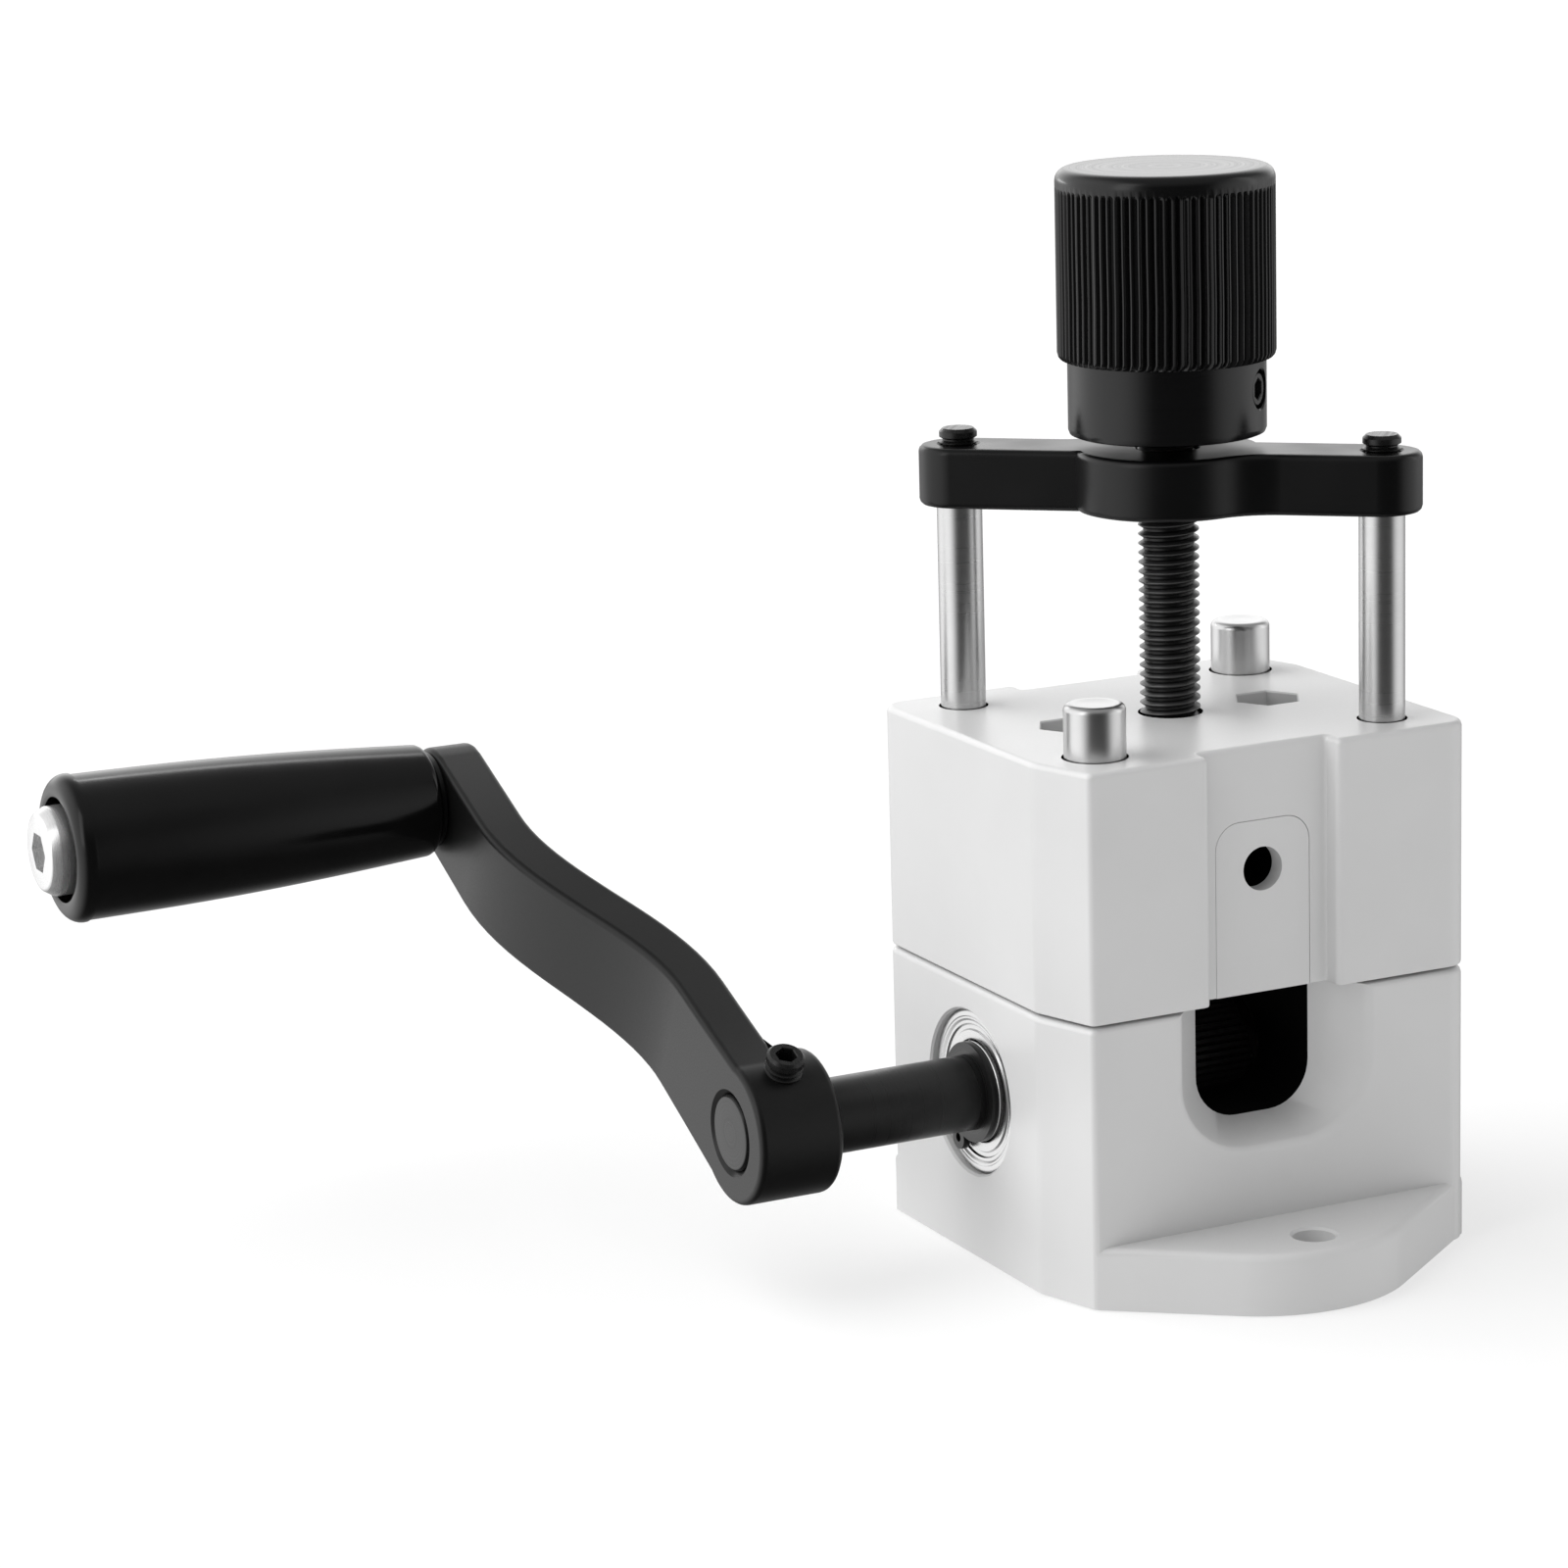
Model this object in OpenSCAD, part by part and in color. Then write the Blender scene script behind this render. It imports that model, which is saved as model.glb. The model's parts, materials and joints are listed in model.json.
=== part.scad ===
// Hand-cranked wire stripper: a crank turns a knurled feed roller in the lower block, and a knob
// lowers the head with its free-turning slitting blade on to the wire.
// Origin: middle of the base's underside, on the lead screw's axis. +Z up, wire leaves towards -Y,
// crank on the -X side.

/* [Body] */
// Width of both blocks, left to right
body_w = 60; // [58:1:72]
// Depth of both blocks, front to back
body_d = 52; // [51:1:63]
// Height of the lower block
base_h = 37.3; // [36:0.1:46]
// Height of the upper block
head_h = 32.8; // [30:0.2:40]
// Gap between the blocks with the head right down
head_gap = 0.4; // [0.2:0.1:2]
// Width of the long chamfer on two opposite corners, measured along X
chamfer_w = 3; // [1:0.5:5]
// Length of the long chamfer, measured along Y
chamfer_l = 9.4; // [5:0.2:12]
// Radius of the two round corners
corner_r = 3.5; // [1:0.5:5]
// Width of the shallow channel down the front and back of the head
channel_w = 19; // [17:0.5:24]
// Depth of the shallow channel
channel_depth = 3; // [1:0.5:4]

/* [Flange] */
// How far each bench flange stands out of the body
flange_reach = 15.3; // [14:0.1:22]
// Radius of the flange's outer end
flange_r = 20.3; // [16:0.1:26]
// Thickness of the flange
flange_t = 8.2; // [5:0.1:12]
// Diameter of the bench screw hole
flange_hole_d = 5.5; // [4:0.5:6.5]
// Distance of the screw hole from the body's face
flange_hole_out = 9; // [6:0.5:11]

/* [Wire path] */
// Width of the wire slot through the lower block
slot_w = 17; // [16.5:0.5:19]
// Height of the slot's floor
slot_floor = 20.7; // [18:0.1:24]
// Radius of the slot's lower corners
slot_r = 6; // [3:0.5:7]
// Width of the flared mouth at the face
mouth_w = 28.4; // [22:0.2:30]
// Height of the mouth's floor at the face
mouth_floor = 17.8; // [14:0.2:19]
// Depth of the flare
mouth_depth = 6; // [3:0.5:9]

/* [Head guides] */
// Diameter of the long guide rods
rod_d = 6; // [5:0.5:7.2]
// Distance of a rod's axis from the body's side face
rod_side = 9; // [7:0.5:11]
// Distance of a rod's axis from the body's front or back face
rod_end = 7.5; // [6:0.5:9]
// Diameter of the rod's threaded top
rod_thread_d = 5; // [4:0.5:6]
// Diameter of the dowel pins
dowel_d = 8; // [6:0.5:9]
// Distance of a dowel's axis from the body's side face
dowel_side = 8.6; // [8:0.1:11]
// Distance of a dowel's axis from the body's front or back face
dowel_end = 8.4; // [7:0.1:10]
// How far a dowel stands out of the lowered head
dowel_proud = 7; // [2:0.5:15]
// Depth left under the rods and dowels in the lower block
pin_floor = 8; // [3:0.5:12]
// Radial gap between a guide and its bore in the head
guide_gap = 0.05; // [0.02:0.01:0.1]

/* [Bridge and screw] */
// Height of the bridge's underside above the ground
bridge_z = 97.8; // [92:0.1:115]
// Thickness of the bridge
bridge_t = 8; // [7:0.1:12]
// Width of the bridge's arms
bridge_arm_w = 10.5; // [9:0.5:13]
// Diameter of the bridge's middle boss
bridge_boss_d = 24.6; // [16:0.2:26]
// How far the rods' threaded ends stand out of the bridge
stud_proud = 2.1; // [1:0.1:6]
// Outside diameter of the lead screw
screw_d = 8; // [7:0.5:9.6]
// Rise of the lead screw's thread for one turn
screw_pitch = 1.25; // [1:0.25:2]
// Diameter of the screw's plain foot
foot_d = 6; // [5:0.5:6.5]
// Thickness of the web that the foot turns in
web_t = 3; // [2:0.5:5]
// Depth of the screw's full diameter in the head
screw_seat = 3; // [2:0.5:5]
// Radial gap of the running fits
run_gap = 0.05; // [0.02:0.01:0.1]
// End play of the turning pieces
end_play = 0.05; // [0.02:0.01:0.2]

/* [Knob] */
// Diameter of the knurled grip
knob_d = 28.4; // [24:0.2:36]
// Height of the knurled grip with its shoulder
knob_h = 24.8; // [18:0.1:32]
// Radius of the grip's top shoulder
knob_shoulder = 1.6; // [0.5:0.1:4]
// Diameter of the collar under the grip
collar_d = 25.8; // [20:0.2:30]
// Height of the collar
collar_h = 9.8; // [9:0.1:15]
// Gap between the collar and the bridge with the head right down
collar_gap = 1.9; // [0.3:0.1:3]
// Direction of the knob's set screw, turned from +X about the screw
knob_screw_turn = -51; // [-180:1:180]
// Height of the knob's set screw above the collar's underside
knob_screw_h = 6.1; // [4:0.1:6.5]

/* [Shaft and bearings] */
// Diameter of the crank shaft
shaft_d = 10; // [8:0.5:12]
// Depth of the shaft's axis below the lower block's top
shaft_down = 14.9; // [12.5:0.1:16]
// Place of the shaft's axis behind the lead screw
shaft_y = 2; // [0:0.1:2]
// Outside diameter of the ball bearings
bearing_d = 22; // [19:0.5:22.5]
// Width of the ball bearings
bearing_w = 6; // [5:0.5:7]
// How deep the bearings sit under the body's side faces
bearing_sunk = 0.8; // [0.2:0.1:2]
// Diameter of the inner ring's shoulder
inner_ring_d = 13.4; // [13:0.1:14]
// Bore of the outer ring's shoulder
outer_ring_bore = 18.9; // [18:0.1:19.5]
// Diameter of the bearing balls
ball_d = 3.2; // [3:0.1:3.4]
// Number of balls in a bearing
ball_count = 9; // [7:1:11]
// Thickness of the circlips
circlip_t = 1; // [0.8:0.1:1.2]
// Diameter of the feed roller
roller_d = 19; // [17:0.5:20]
// Width of the feed roller
roller_w = 16; // [12:0.5:16]

/* [Crank] */
// Distance from the body's side face to the crank hub
hub_out = 23.1; // [8:0.1:30]
// Diameter of the crank hub
hub_d = 19; // [17:0.5:23]
// Length of the crank hub
hub_l = 11.9; // [10:0.2:16]
// Distance from the shaft to the handle
arm_l = 75.7; // [68:0.1:95]
// Lean of the arm from upright, towards the back
arm_tilt = 65; // [0:1:90]
// Width of the arm in its middle
arm_w = 15.4; // [14:0.2:17]
// Width of the arm's handle end
arm_end_w = 14.2; // [13:0.2:18]
// Thickness of the arm
arm_t = 6.8; // [5:0.2:9]
// Outward offset of the arm's handle end
arm_offset = 12.2; // [0:0.2:16]
// Where the arm's bend starts, from the shaft
bend_start = 20; // [16:1:30]
// Where the arm's bend ends, from the shaft
bend_end = 61; // [50:1:62]

/* [Handle] */
// Length of the grip
grip_l = 52.9; // [40:0.1:80]
// Diameter of the grip at its outer end
grip_d = 20.2; // [18:0.2:28]
// Diameter of the grip at the arm
grip_neck_d = 15.6; // [13:0.2:18]
// Diameter of the bolt that the grip turns on
bolt_d = 6; // [5:0.5:7.2]
// Diameter of the bolt's head
bolt_head_d = 12.2; // [11:0.2:14]
// Height of the bolt's head
bolt_head_h = 5; // [3:0.2:6]
// How far the bolt's head stands out of the grip
bolt_head_proud = 2.6; // [0:0.1:2.8]

/* [Blade] */
// Diameter of the slitting blade
blade_d = 26; // [22:0.5:26]
// Thickness of the slitting blade
blade_t = 1.5; // [1:0.1:2.5]
// Gap between the blade and the roller with the head right down
blade_gap = 1.3; // [0.8:0.1:3]
// Diameter of the blade's pin
blade_pin_d = 5; // [4:0.5:6]
// Width of the blade's slot in its carrier
blade_slot_w = 5; // [4:0.5:6]
// Width of the blade carrier
carrier_w = 14; // [12:0.5:16]
// Height of the blade carrier
carrier_h = 22.9; // [22.9:0.1:24]
// Radius of the carrier's top corners
carrier_r = 3.5; // [1:0.5:5]
// Gap around the carrier in the head
carrier_gap = 0.1; // [0.05:0.05:0.3]
// Diameter of the sight hole in the carrier's front
sight_d = 5.8; // [4:0.1:7]
// Height of the sight hole above the head's underside
sight_h = 16.4; // [12:0.2:17]

/* [Carrier screws] */
// Distance of each carrier screw from the lead screw
carrier_screw_x = 14.9; // [14:0.1:16]
// Diameter of the carrier screws, knob screw and crank screw
small_screw_d = 5; // [4:0.5:6]
// Width across flats of the nut pockets
nut_flats = 8; // [7:0.5:9]
// Thickness of the nuts
nut_t = 4; // [3:0.2:5]
// Depth of the nut pockets from the head's top
pocket_depth = 15; // [8:0.5:18]
// Thickness of the carrier's foot plate
plate_t = 4; // [3:0.5:6]
// Depth of the foot plate, front to back
plate_d = 16; // [12:0.5:18]

/* [Hidden] */
$fn = 64;
cut = 0.01;
head_z = base_h + head_gap;
shaft_z = base_h - shaft_down;
head_top = head_z + head_h;
rod_at = [body_w / 2 - rod_side, body_d / 2 - rod_end];
dowel_at = [body_w / 2 - dowel_side, body_d / 2 - dowel_end];
flange_y = body_d / 2 + flange_reach - flange_r;
channel_y = body_d / 2 - channel_depth;
bridge_top = bridge_z + bridge_t;
collar_z = bridge_top + collar_gap;
grip_z = collar_z + collar_h;
knob_top = grip_z + knob_h;
screw_top = knob_top - 11;
screw_z = head_top - screw_seat;
web_z = screw_z - web_t;
washer_t = 1;
foot_clip_t = 1;
foot_end = 1;
foot_z = web_z - end_play - washer_t - foot_clip_t - foot_end;
bearing_x = body_w / 2 - bearing_sunk - bearing_w;
seat_step = 0.8;
spacer_l = bearing_x - roller_w / 2;
pitch_r = (inner_ring_d + outer_ring_bore) / 4;
race_gap = 0.05;
groove_r = ball_d / 2 + race_gap;
hub_x = -body_w / 2 - hub_out;
arm_x = hub_x - hub_l;
arm_dir = [0, sin(arm_tilt), cos(arm_tilt)];
handle_at = [0, shaft_y, shaft_z] + arm_l * arm_dir;
handle_x = arm_x - arm_offset;
grip_washer_t = 0.8;
grip_x = handle_x - grip_washer_t - end_play;
bolt_recess = bolt_head_h - bolt_head_proud;
blade_z = shaft_z + roller_d / 2 + blade_gap + blade_d / 2;
blade_washer_d = 10;
blade_slot_gap = 1;
carrier_top = head_z + carrier_h;
pocket_z = head_top - pocket_depth;
nut_z = pocket_z;
plate_w = 2 * carrier_screw_x + 11;
screw_hole_gap = 0.15;
roller_screw_d = 4;
roller_screw_turn = 90 - arm_tilt;

// ---- shared shapes ----

// Points of an arc, from one angle to another
function arc(centre, r, from, to, steps = 8) = [
    for (i = [0 : steps])
        centre + r * [cos(from + (to - from) * i / steps), sin(from + (to - from) * i / steps)]
];

// Points of the body's plan, with two opposite corners chamfered and two round
function half_plan(side) = concat(
    [side * [-body_w / 2, -body_d / 2 + chamfer_l]],
    [side * [-body_w / 2 + chamfer_w, -body_d / 2]],
    [for (p = arc([body_w / 2 - corner_r, -body_d / 2 + corner_r], corner_r, -90, 0)) side * p]
);

module body_plan() {
    polygon(concat(half_plan(1), half_plan(-1)));
}

// Angle round a circle where a straight line from a point outside touches it
function touch(centre, r, point, side) =
    let (d = point - centre)
    atan2(d.y, d.x) + side * acos(r / norm(d));

// Plan of the front flange: a round end with a straight side to each corner of the body
module flange_plan() {
    centre = [0, -flange_y];
    right = [body_w / 2, -body_d / 2 + 2];
    left = [-body_w / 2 + chamfer_w, -body_d / 2];
    from = touch(centre, flange_r, left, 1);
    to = touch(centre, flange_r, right, -1);
    polygon(concat(
        arc(centre, flange_r, from, to > from ? to : to + 360, 24),
        [right, [right.x, 0], [left.x, 0], left]
    ));
}

// Lays a shape that was drawn along Z along the shaft's direction, +X
module along_x() {
    rotate([0, 90, 0]) children();
}

// A cylinder along X, at the shaft's axis unless placed elsewhere
module x_cylinder(x, l, d, y = shaft_y, z = shaft_z) {
    translate([x, y, z]) along_x() cylinder(d = d, h = l);
}

module x_tube(x, l, d, bore) {
    difference() {
        x_cylinder(x, l, d);
        x_cylinder(x - cut, l + 2 * cut, bore);
    }
}

// A round bar along Z with both ends chamfered
module chamfered_bar(d, h, chamfer) {
    rotate_extrude()
        polygon([
            [0, 0], [d / 2 - chamfer, 0], [d / 2, chamfer],
            [d / 2, h - chamfer], [d / 2 - chamfer, h], [0, h]
        ]);
}

// A threaded bar along Z, drawn as plain rings of the thread's depth
module ringed_bar(d, h, pitch) {
    depth = 0.54 * pitch;
    turns = floor(h / pitch);
    rotate_extrude()
        polygon(concat(
            [[0, 0]],
            [
                for (i = [0 : turns - 1])
                    for (p = [[d / 2 - depth, 0.05], [d / 2, 0.45], [d / 2, 0.6], [d / 2 - depth, 1]])
                        [p[0], (i + p[1]) * pitch]
            ],
            [[d / 2 - depth, h], [0, h]]
        ));
}

// A socket set screw along Z, its socket at the top
module set_screw(d, l) {
    socket = d / 2;
    difference() {
        chamfered_bar(d, l, 0.4);
        translate([0, 0, l - d * 0.5]) cylinder(d = socket / cos(30), h = l, $fn = 6);
    }
}

// Section of the wire slot: a floor with two round corners and open at the top
module slot_section(w, floor_z, r, top) {
    polygon(concat(
        [[-w / 2, top]],
        arc([-w / 2 + r, floor_z + r], r, 180, 270, 6),
        arc([w / 2 - r, floor_z + r], r, 270, 360, 6),
        [[w / 2, top]]
    ));
}

// One flared mouth of the wire slot, on the front
module mouth() {
    skin = 0.05;
    hull() {
        translate([0, -body_d / 2 + mouth_depth, 0]) rotate([90, 0, 0])
            linear_extrude(skin) slot_section(slot_w, slot_floor, slot_r, base_h + 1);
        translate([0, -body_d / 2, 0]) rotate([90, 0, 0])
            linear_extrude(skin) slot_section(mouth_w, mouth_floor, slot_r + 4, base_h + 1);
    }
}

// Runs a child on the front and again, half a turn round, on the back
module front_and_back() {
    for (turn = [0, 180])
        rotate([0, 0, turn]) children();
}

// ---- base ----

module lower_block() {
    color("gainsboro")
    difference() {
        union() {
            linear_extrude(base_h) body_plan();
            front_and_back()
                linear_extrude(flange_t) flange_plan();
        }
        front_and_back()
            translate([0, -body_d / 2 - flange_hole_out, -1])
                cylinder(d = flange_hole_d, h = flange_t + 2);
        // wire slot and its two mouths
        translate([0, body_d / 2 + 1, 0]) rotate([90, 0, 0])
            linear_extrude(body_d + 2) slot_section(slot_w, slot_floor, slot_r, base_h + 1);
        front_and_back() mouth();
        // roller chamber with a bearing seat at each end
        x_cylinder(-body_w / 2 - 1, body_w + 2, bearing_d - 2 * seat_step);
        for (x = [-body_w / 2 - 1, bearing_x])
            x_cylinder(x, bearing_w + bearing_sunk + 1, bearing_d);
        // bores for the rods and dowels
        front_and_back() {
            translate([rod_at.x, -rod_at.y, pin_floor]) cylinder(d = rod_d, h = base_h);
            translate([-dowel_at.x, -dowel_at.y, pin_floor]) cylinder(d = dowel_d, h = base_h);
        }
    }
}

module guide_rod() {
    color("lightsteelblue") {
        translate([0, 0, pin_floor]) cylinder(d = rod_d, h = bridge_z - pin_floor);
        translate([0, 0, bridge_z])
            chamfered_bar(rod_thread_d, bridge_t + stud_proud, 0.4);
    }
}

module guide_rod_left() {
    translate([-rod_at.x, rod_at.y, 0]) guide_rod();
}

module guide_rod_right() {
    translate([rod_at.x, -rod_at.y, 0]) guide_rod();
}

module dowel() {
    color("lightsteelblue")
    translate([0, 0, pin_floor])
        chamfered_bar(dowel_d, head_top + dowel_proud - pin_floor, 0.7);
}

module dowel_front() {
    translate([-dowel_at.x, -dowel_at.y, 0]) dowel();
}

module dowel_back() {
    translate([dowel_at.x, dowel_at.y, 0]) dowel();
}

module bridge() {
    span = 2 * norm(rod_at);
    turn = atan2(-rod_at.y, rod_at.x);
    color("#1c1c1c")
    difference() {
        translate([0, 0, bridge_z]) linear_extrude(bridge_t) union() {
            rotate(turn) square([span, bridge_arm_w], center = true);
            for (side = [-1, 1])
                translate([side * rod_at.x, -side * rod_at.y]) circle(d = bridge_arm_w);
            circle(d = bridge_boss_d);
        }
        for (side = [-1, 1])
            translate([side * rod_at.x, -side * rod_at.y, bridge_z - 1])
                cylinder(d = rod_thread_d, h = bridge_t + 2);
        translate([0, 0, bridge_z - 1]) cylinder(d = screw_d + 2 * run_gap, h = bridge_t + 2);
    }
}

// ---- ball bearings, drawn for the right-hand side ----

module right_outer_ring() {
    color("silver")
    difference() {
        x_tube(bearing_x, bearing_w, bearing_d, outer_ring_bore);
        race();
    }
}

module right_inner_ring() {
    color("silver")
    difference() {
        x_tube(bearing_x, bearing_w, inner_ring_d, shaft_d);
        race();
    }
}

// The ring that the balls sweep, with their running gap
module race() {
    translate([bearing_x + bearing_w / 2, shaft_y, shaft_z]) along_x()
        rotate_extrude() translate([pitch_r, 0]) circle(r = groove_r, $fn = 32);
}

module right_balls() {
    color("gainsboro")
    for (i = [0 : ball_count - 1])
        translate([bearing_x + bearing_w / 2, shaft_y, shaft_z])
            rotate([360 / ball_count * i, 0, 0]) translate([0, 0, pitch_r])
                sphere(d = ball_d, $fn = 32);
}

module right_shield() {
    shield_t = 0.3;
    shield_sunk = 0.3;
    shield_gap = 0.15;
    color("darkgray")
    x_tube(bearing_x + bearing_w - shield_sunk - shield_t, shield_t,
        outer_ring_bore, inner_ring_d + 2 * shield_gap);
}

module right_circlip() {
    ring_d = shaft_d + 3.4;
    lug_d = 3.2;
    lug_r = ring_d / 2 + 1;
    lug_turn = 17;
    pair_turn = 41;
    color("#303030")
    translate([bearing_x + bearing_w, shaft_y, shaft_z]) along_x()
        rotate(pair_turn) linear_extrude(circlip_t) difference() {
            union() {
                circle(d = ring_d);
                for (side = [-1, 1])
                    rotate(side * lug_turn) translate([lug_r, 0]) circle(d = lug_d, $fn = 32);
            }
            circle(d = shaft_d);
            for (side = [-1, 1])
                rotate(side * lug_turn) translate([lug_r, 0]) circle(d = 1.2, $fn = 24);
            translate([shaft_d / 4, -0.5]) square([ring_d, 1]);
        }
}

module left_side() {
    mirror([1, 0, 0]) children();
}

module bearing_right_outer_ring() { right_outer_ring(); }
module bearing_right_inner_ring() { right_inner_ring(); }
module bearing_right_balls() { right_balls(); }
module bearing_right_shield() { right_shield(); }
module circlip_right() { right_circlip(); }
module bearing_left_outer_ring() { left_side() right_outer_ring(); }
module bearing_left_inner_ring() { left_side() right_inner_ring(); }
module bearing_left_balls() { left_side() right_balls(); }
module bearing_left_shield() { left_side() right_shield(); }
module circlip_left() { left_side() right_circlip(); }

// ---- crank and feed roller ----

module drive_shaft() {
    shaft_end = bearing_x + bearing_w + circlip_t + 1;
    color("#2a2a2a")
    translate([arm_x, shaft_y, shaft_z]) along_x()
        chamfered_bar(shaft_d, shaft_end - arm_x, 0.5);
}

// The roller's set screw runs square to the shaft, half a turn from the crank's
module feed_roller() {
    color("dimgray")
    difference() {
        translate([-roller_w / 2, shaft_y, shaft_z]) along_x()
            chamfered_bar(roller_d, roller_w, 0.6);
        x_cylinder(-roller_w / 2 - 1, roller_w + 2, shaft_d);
        translate([0, shaft_y, shaft_z]) rotate([roller_screw_turn + 180, 0, 0])
            cylinder(d = roller_screw_d, h = roller_d);
    }
}

module roller_set_screw() {
    color("#202020")
    translate([0, shaft_y, shaft_z]) rotate([roller_screw_turn + 180, 0, 0])
        translate([0, 0, shaft_d / 2])
            set_screw(roller_screw_d, (roller_d - shaft_d) / 2 - 0.6);
}

module spacer(x) {
    color("darkgray") x_tube(x, spacer_l, inner_ring_d, shaft_d);
}

module spacer_left() {
    spacer(-bearing_x);
}

module spacer_right() {
    spacer(roller_w / 2);
}

// Outward offset of the arm's faces, at a distance along it from the shaft
function arm_shift(s) = arm_offset
    * (1 - cos(180 * min(1, max(0, (s - bend_start) / (bend_end - bend_start))))) / 2;

// Lays a shape with X outwards and Y along the arm, from the shaft's axis
module on_arm() {
    translate([arm_x, shaft_y, shaft_z]) rotate([90 - arm_tilt, 0, 0]) children();
}

// Slope of the arm's middle line, at a distance along it from the shaft
function arm_slope(s) =
    let (t = min(1, max(0, (s - bend_start) / (bend_end - bend_start))))
    arm_offset * PI / 2 * sin(180 * t) / (bend_end - bend_start);

// A point on the arm's outer (-1) or inner (1) face, square to its middle line
function arm_point(s, side) =
    let (lean = atan(arm_slope(s)))
    [arm_t / 2 - arm_shift(s), s] + side * arm_t / 2 * [cos(lean), sin(lean)];

// Side view of the arm: two straight ends joined by an even S
module arm_side() {
    steps = 24;
    reach = arm_l + arm_end_w;
    bend = [for (i = [0 : steps]) bend_start + (bend_end - bend_start) * i / steps];
    stations = concat([-hub_d], bend, [reach]);
    last = len(stations) - 1;
    polygon(concat(
        [for (s = stations) arm_point(s, -1)],
        [for (i = [last : -1 : 0]) arm_point(stations[i], 1)]
    ));
}

// Face view of the arm: wide at the hub, narrower in its middle, with a round handle end
module arm_face() {
    hub_half = hub_d / 2 - 0.4;
    waist = (bend_start + bend_end) / 2;
    polygon(concat(
        [[-hub_half, 0], [-arm_w / 2, waist]],
        arc([0, arm_l], arm_end_w / 2, 180, 0, 16),
        [[arm_w / 2, waist], [hub_half, 0]]
    ));
}

module crank_arm() {
    color("#1a1a1a")
    difference() {
        union() {
            x_cylinder(arm_x, hub_l, hub_d);
            on_arm() intersection() {
                translate([0, 0, -hub_d]) linear_extrude(2 * hub_d) arm_side();
                translate([-arm_offset - 1, 0, 0]) along_x()
                    linear_extrude(arm_offset + arm_t + 2) arm_face();
            }
        }
        x_cylinder(arm_x - 1, hub_l + 2, shaft_d);
        crank_screw_axis() cylinder(d = small_screw_d, h = hub_d);
        x_cylinder(handle_x - 1, arm_t + 2, bolt_d - 1, handle_at.y, handle_at.z);
    }
}

// The crank's set screw points square to the arm, in the middle of the hub
module crank_screw_axis() {
    translate([hub_x - hub_l / 2, shaft_y, shaft_z]) rotate([90 - arm_tilt, 0, 0]) children();
}

module crank_set_screw() {
    screw_proud = 2.6;
    color("#202020")
    crank_screw_axis() translate([0, 0, shaft_d / 2])
        set_screw(small_screw_d, (hub_d - shaft_d) / 2 + screw_proud);
}

// Places a shape drawn with Z along the handle, outwards from the arm
module on_handle(x) {
    translate([x, handle_at.y, handle_at.z]) rotate([0, -90, 0]) children();
}

module handle_bolt() {
    socket_flats = 5;
    shank_l = handle_x - grip_x + grip_l - bolt_recess + 2 * end_play;
    color("whitesmoke")
    on_handle(handle_x) difference() {
        union() {
            translate([0, 0, -arm_t]) cylinder(d = bolt_d - 1, h = arm_t + cut);
            cylinder(d = bolt_d, h = shank_l + cut);
            translate([0, 0, shank_l]) chamfered_bar(bolt_head_d, bolt_head_h, 0.9);
        }
        translate([0, 0, shank_l + bolt_head_h * 0.35])
            cylinder(d = socket_flats / cos(30), h = bolt_head_h, $fn = 6);
    }
}

module grip_washer() {
    color("darkgray")
    on_handle(handle_x) difference() {
        cylinder(d = grip_neck_d - 3, h = grip_washer_t);
        translate([0, 0, -1]) cylinder(d = bolt_d, h = grip_washer_t + 2);
    }
}

module handle_grip() {
    end_r = 2.2;
    neck_r = 1.2;
    head_gap_r = 1;
    belly = 0.5;
    steps = 10;
    side = [
        for (i = [0 : steps])
            let (t = i / steps)
            [
                grip_neck_d / 2 + (grip_d - grip_neck_d) / 2 * t + belly * sin(180 * t),
                neck_r + (grip_l - end_r - neck_r) * t
            ]
    ];
    color("#161616")
    on_handle(grip_x) difference() {
        rotate_extrude() polygon(concat(
            [[0, 0], [grip_neck_d / 2 - neck_r, 0]],
            side,
            arc([grip_d / 2 - end_r, grip_l - end_r], end_r, 10, 90, 6),
            [[0, grip_l]]
        ));
        translate([0, 0, -1]) cylinder(d = bolt_d + 2 * run_gap, h = grip_l + 2);
        translate([0, 0, grip_l - bolt_recess])
            cylinder(d = bolt_head_d + 2 * head_gap_r, h = grip_l);
    }
}

// ---- head ----

// Front view of the carrier: square at the bottom, round at the top corners
module carrier_section(grow, below) {
    w = carrier_w + 2 * grow;
    top = carrier_top - carrier_r;
    polygon(concat(
        [[-w / 2, head_z - below]],
        arc([-w / 2 + carrier_r, top], carrier_r, 180, 90, 6),
        arc([w / 2 - carrier_r, top], carrier_r, 90, 0, 6),
        [[w / 2, head_z - below]]
    ));
}

// A bar of the carrier's section, as long as the head between its channels
module carrier_bar(grow, over) {
    translate([0, channel_y + over, 0]) rotate([90, 0, 0])
        linear_extrude(2 * (channel_y + over)) carrier_section(grow, over);
}

module foot_plate(grow, below) {
    translate([-plate_w / 2 - grow, -plate_d / 2 - grow, head_z - below])
        cube([plate_w + 2 * grow, plate_d + 2 * grow, plate_t + below]);
}

module hex_bar(flats, h) {
    cylinder(d = flats / cos(30), h = h, $fn = 6);
}

module both_carrier_screws() {
    for (side = [-1, 1])
        translate([side * carrier_screw_x, 0, 0]) children();
}

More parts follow.
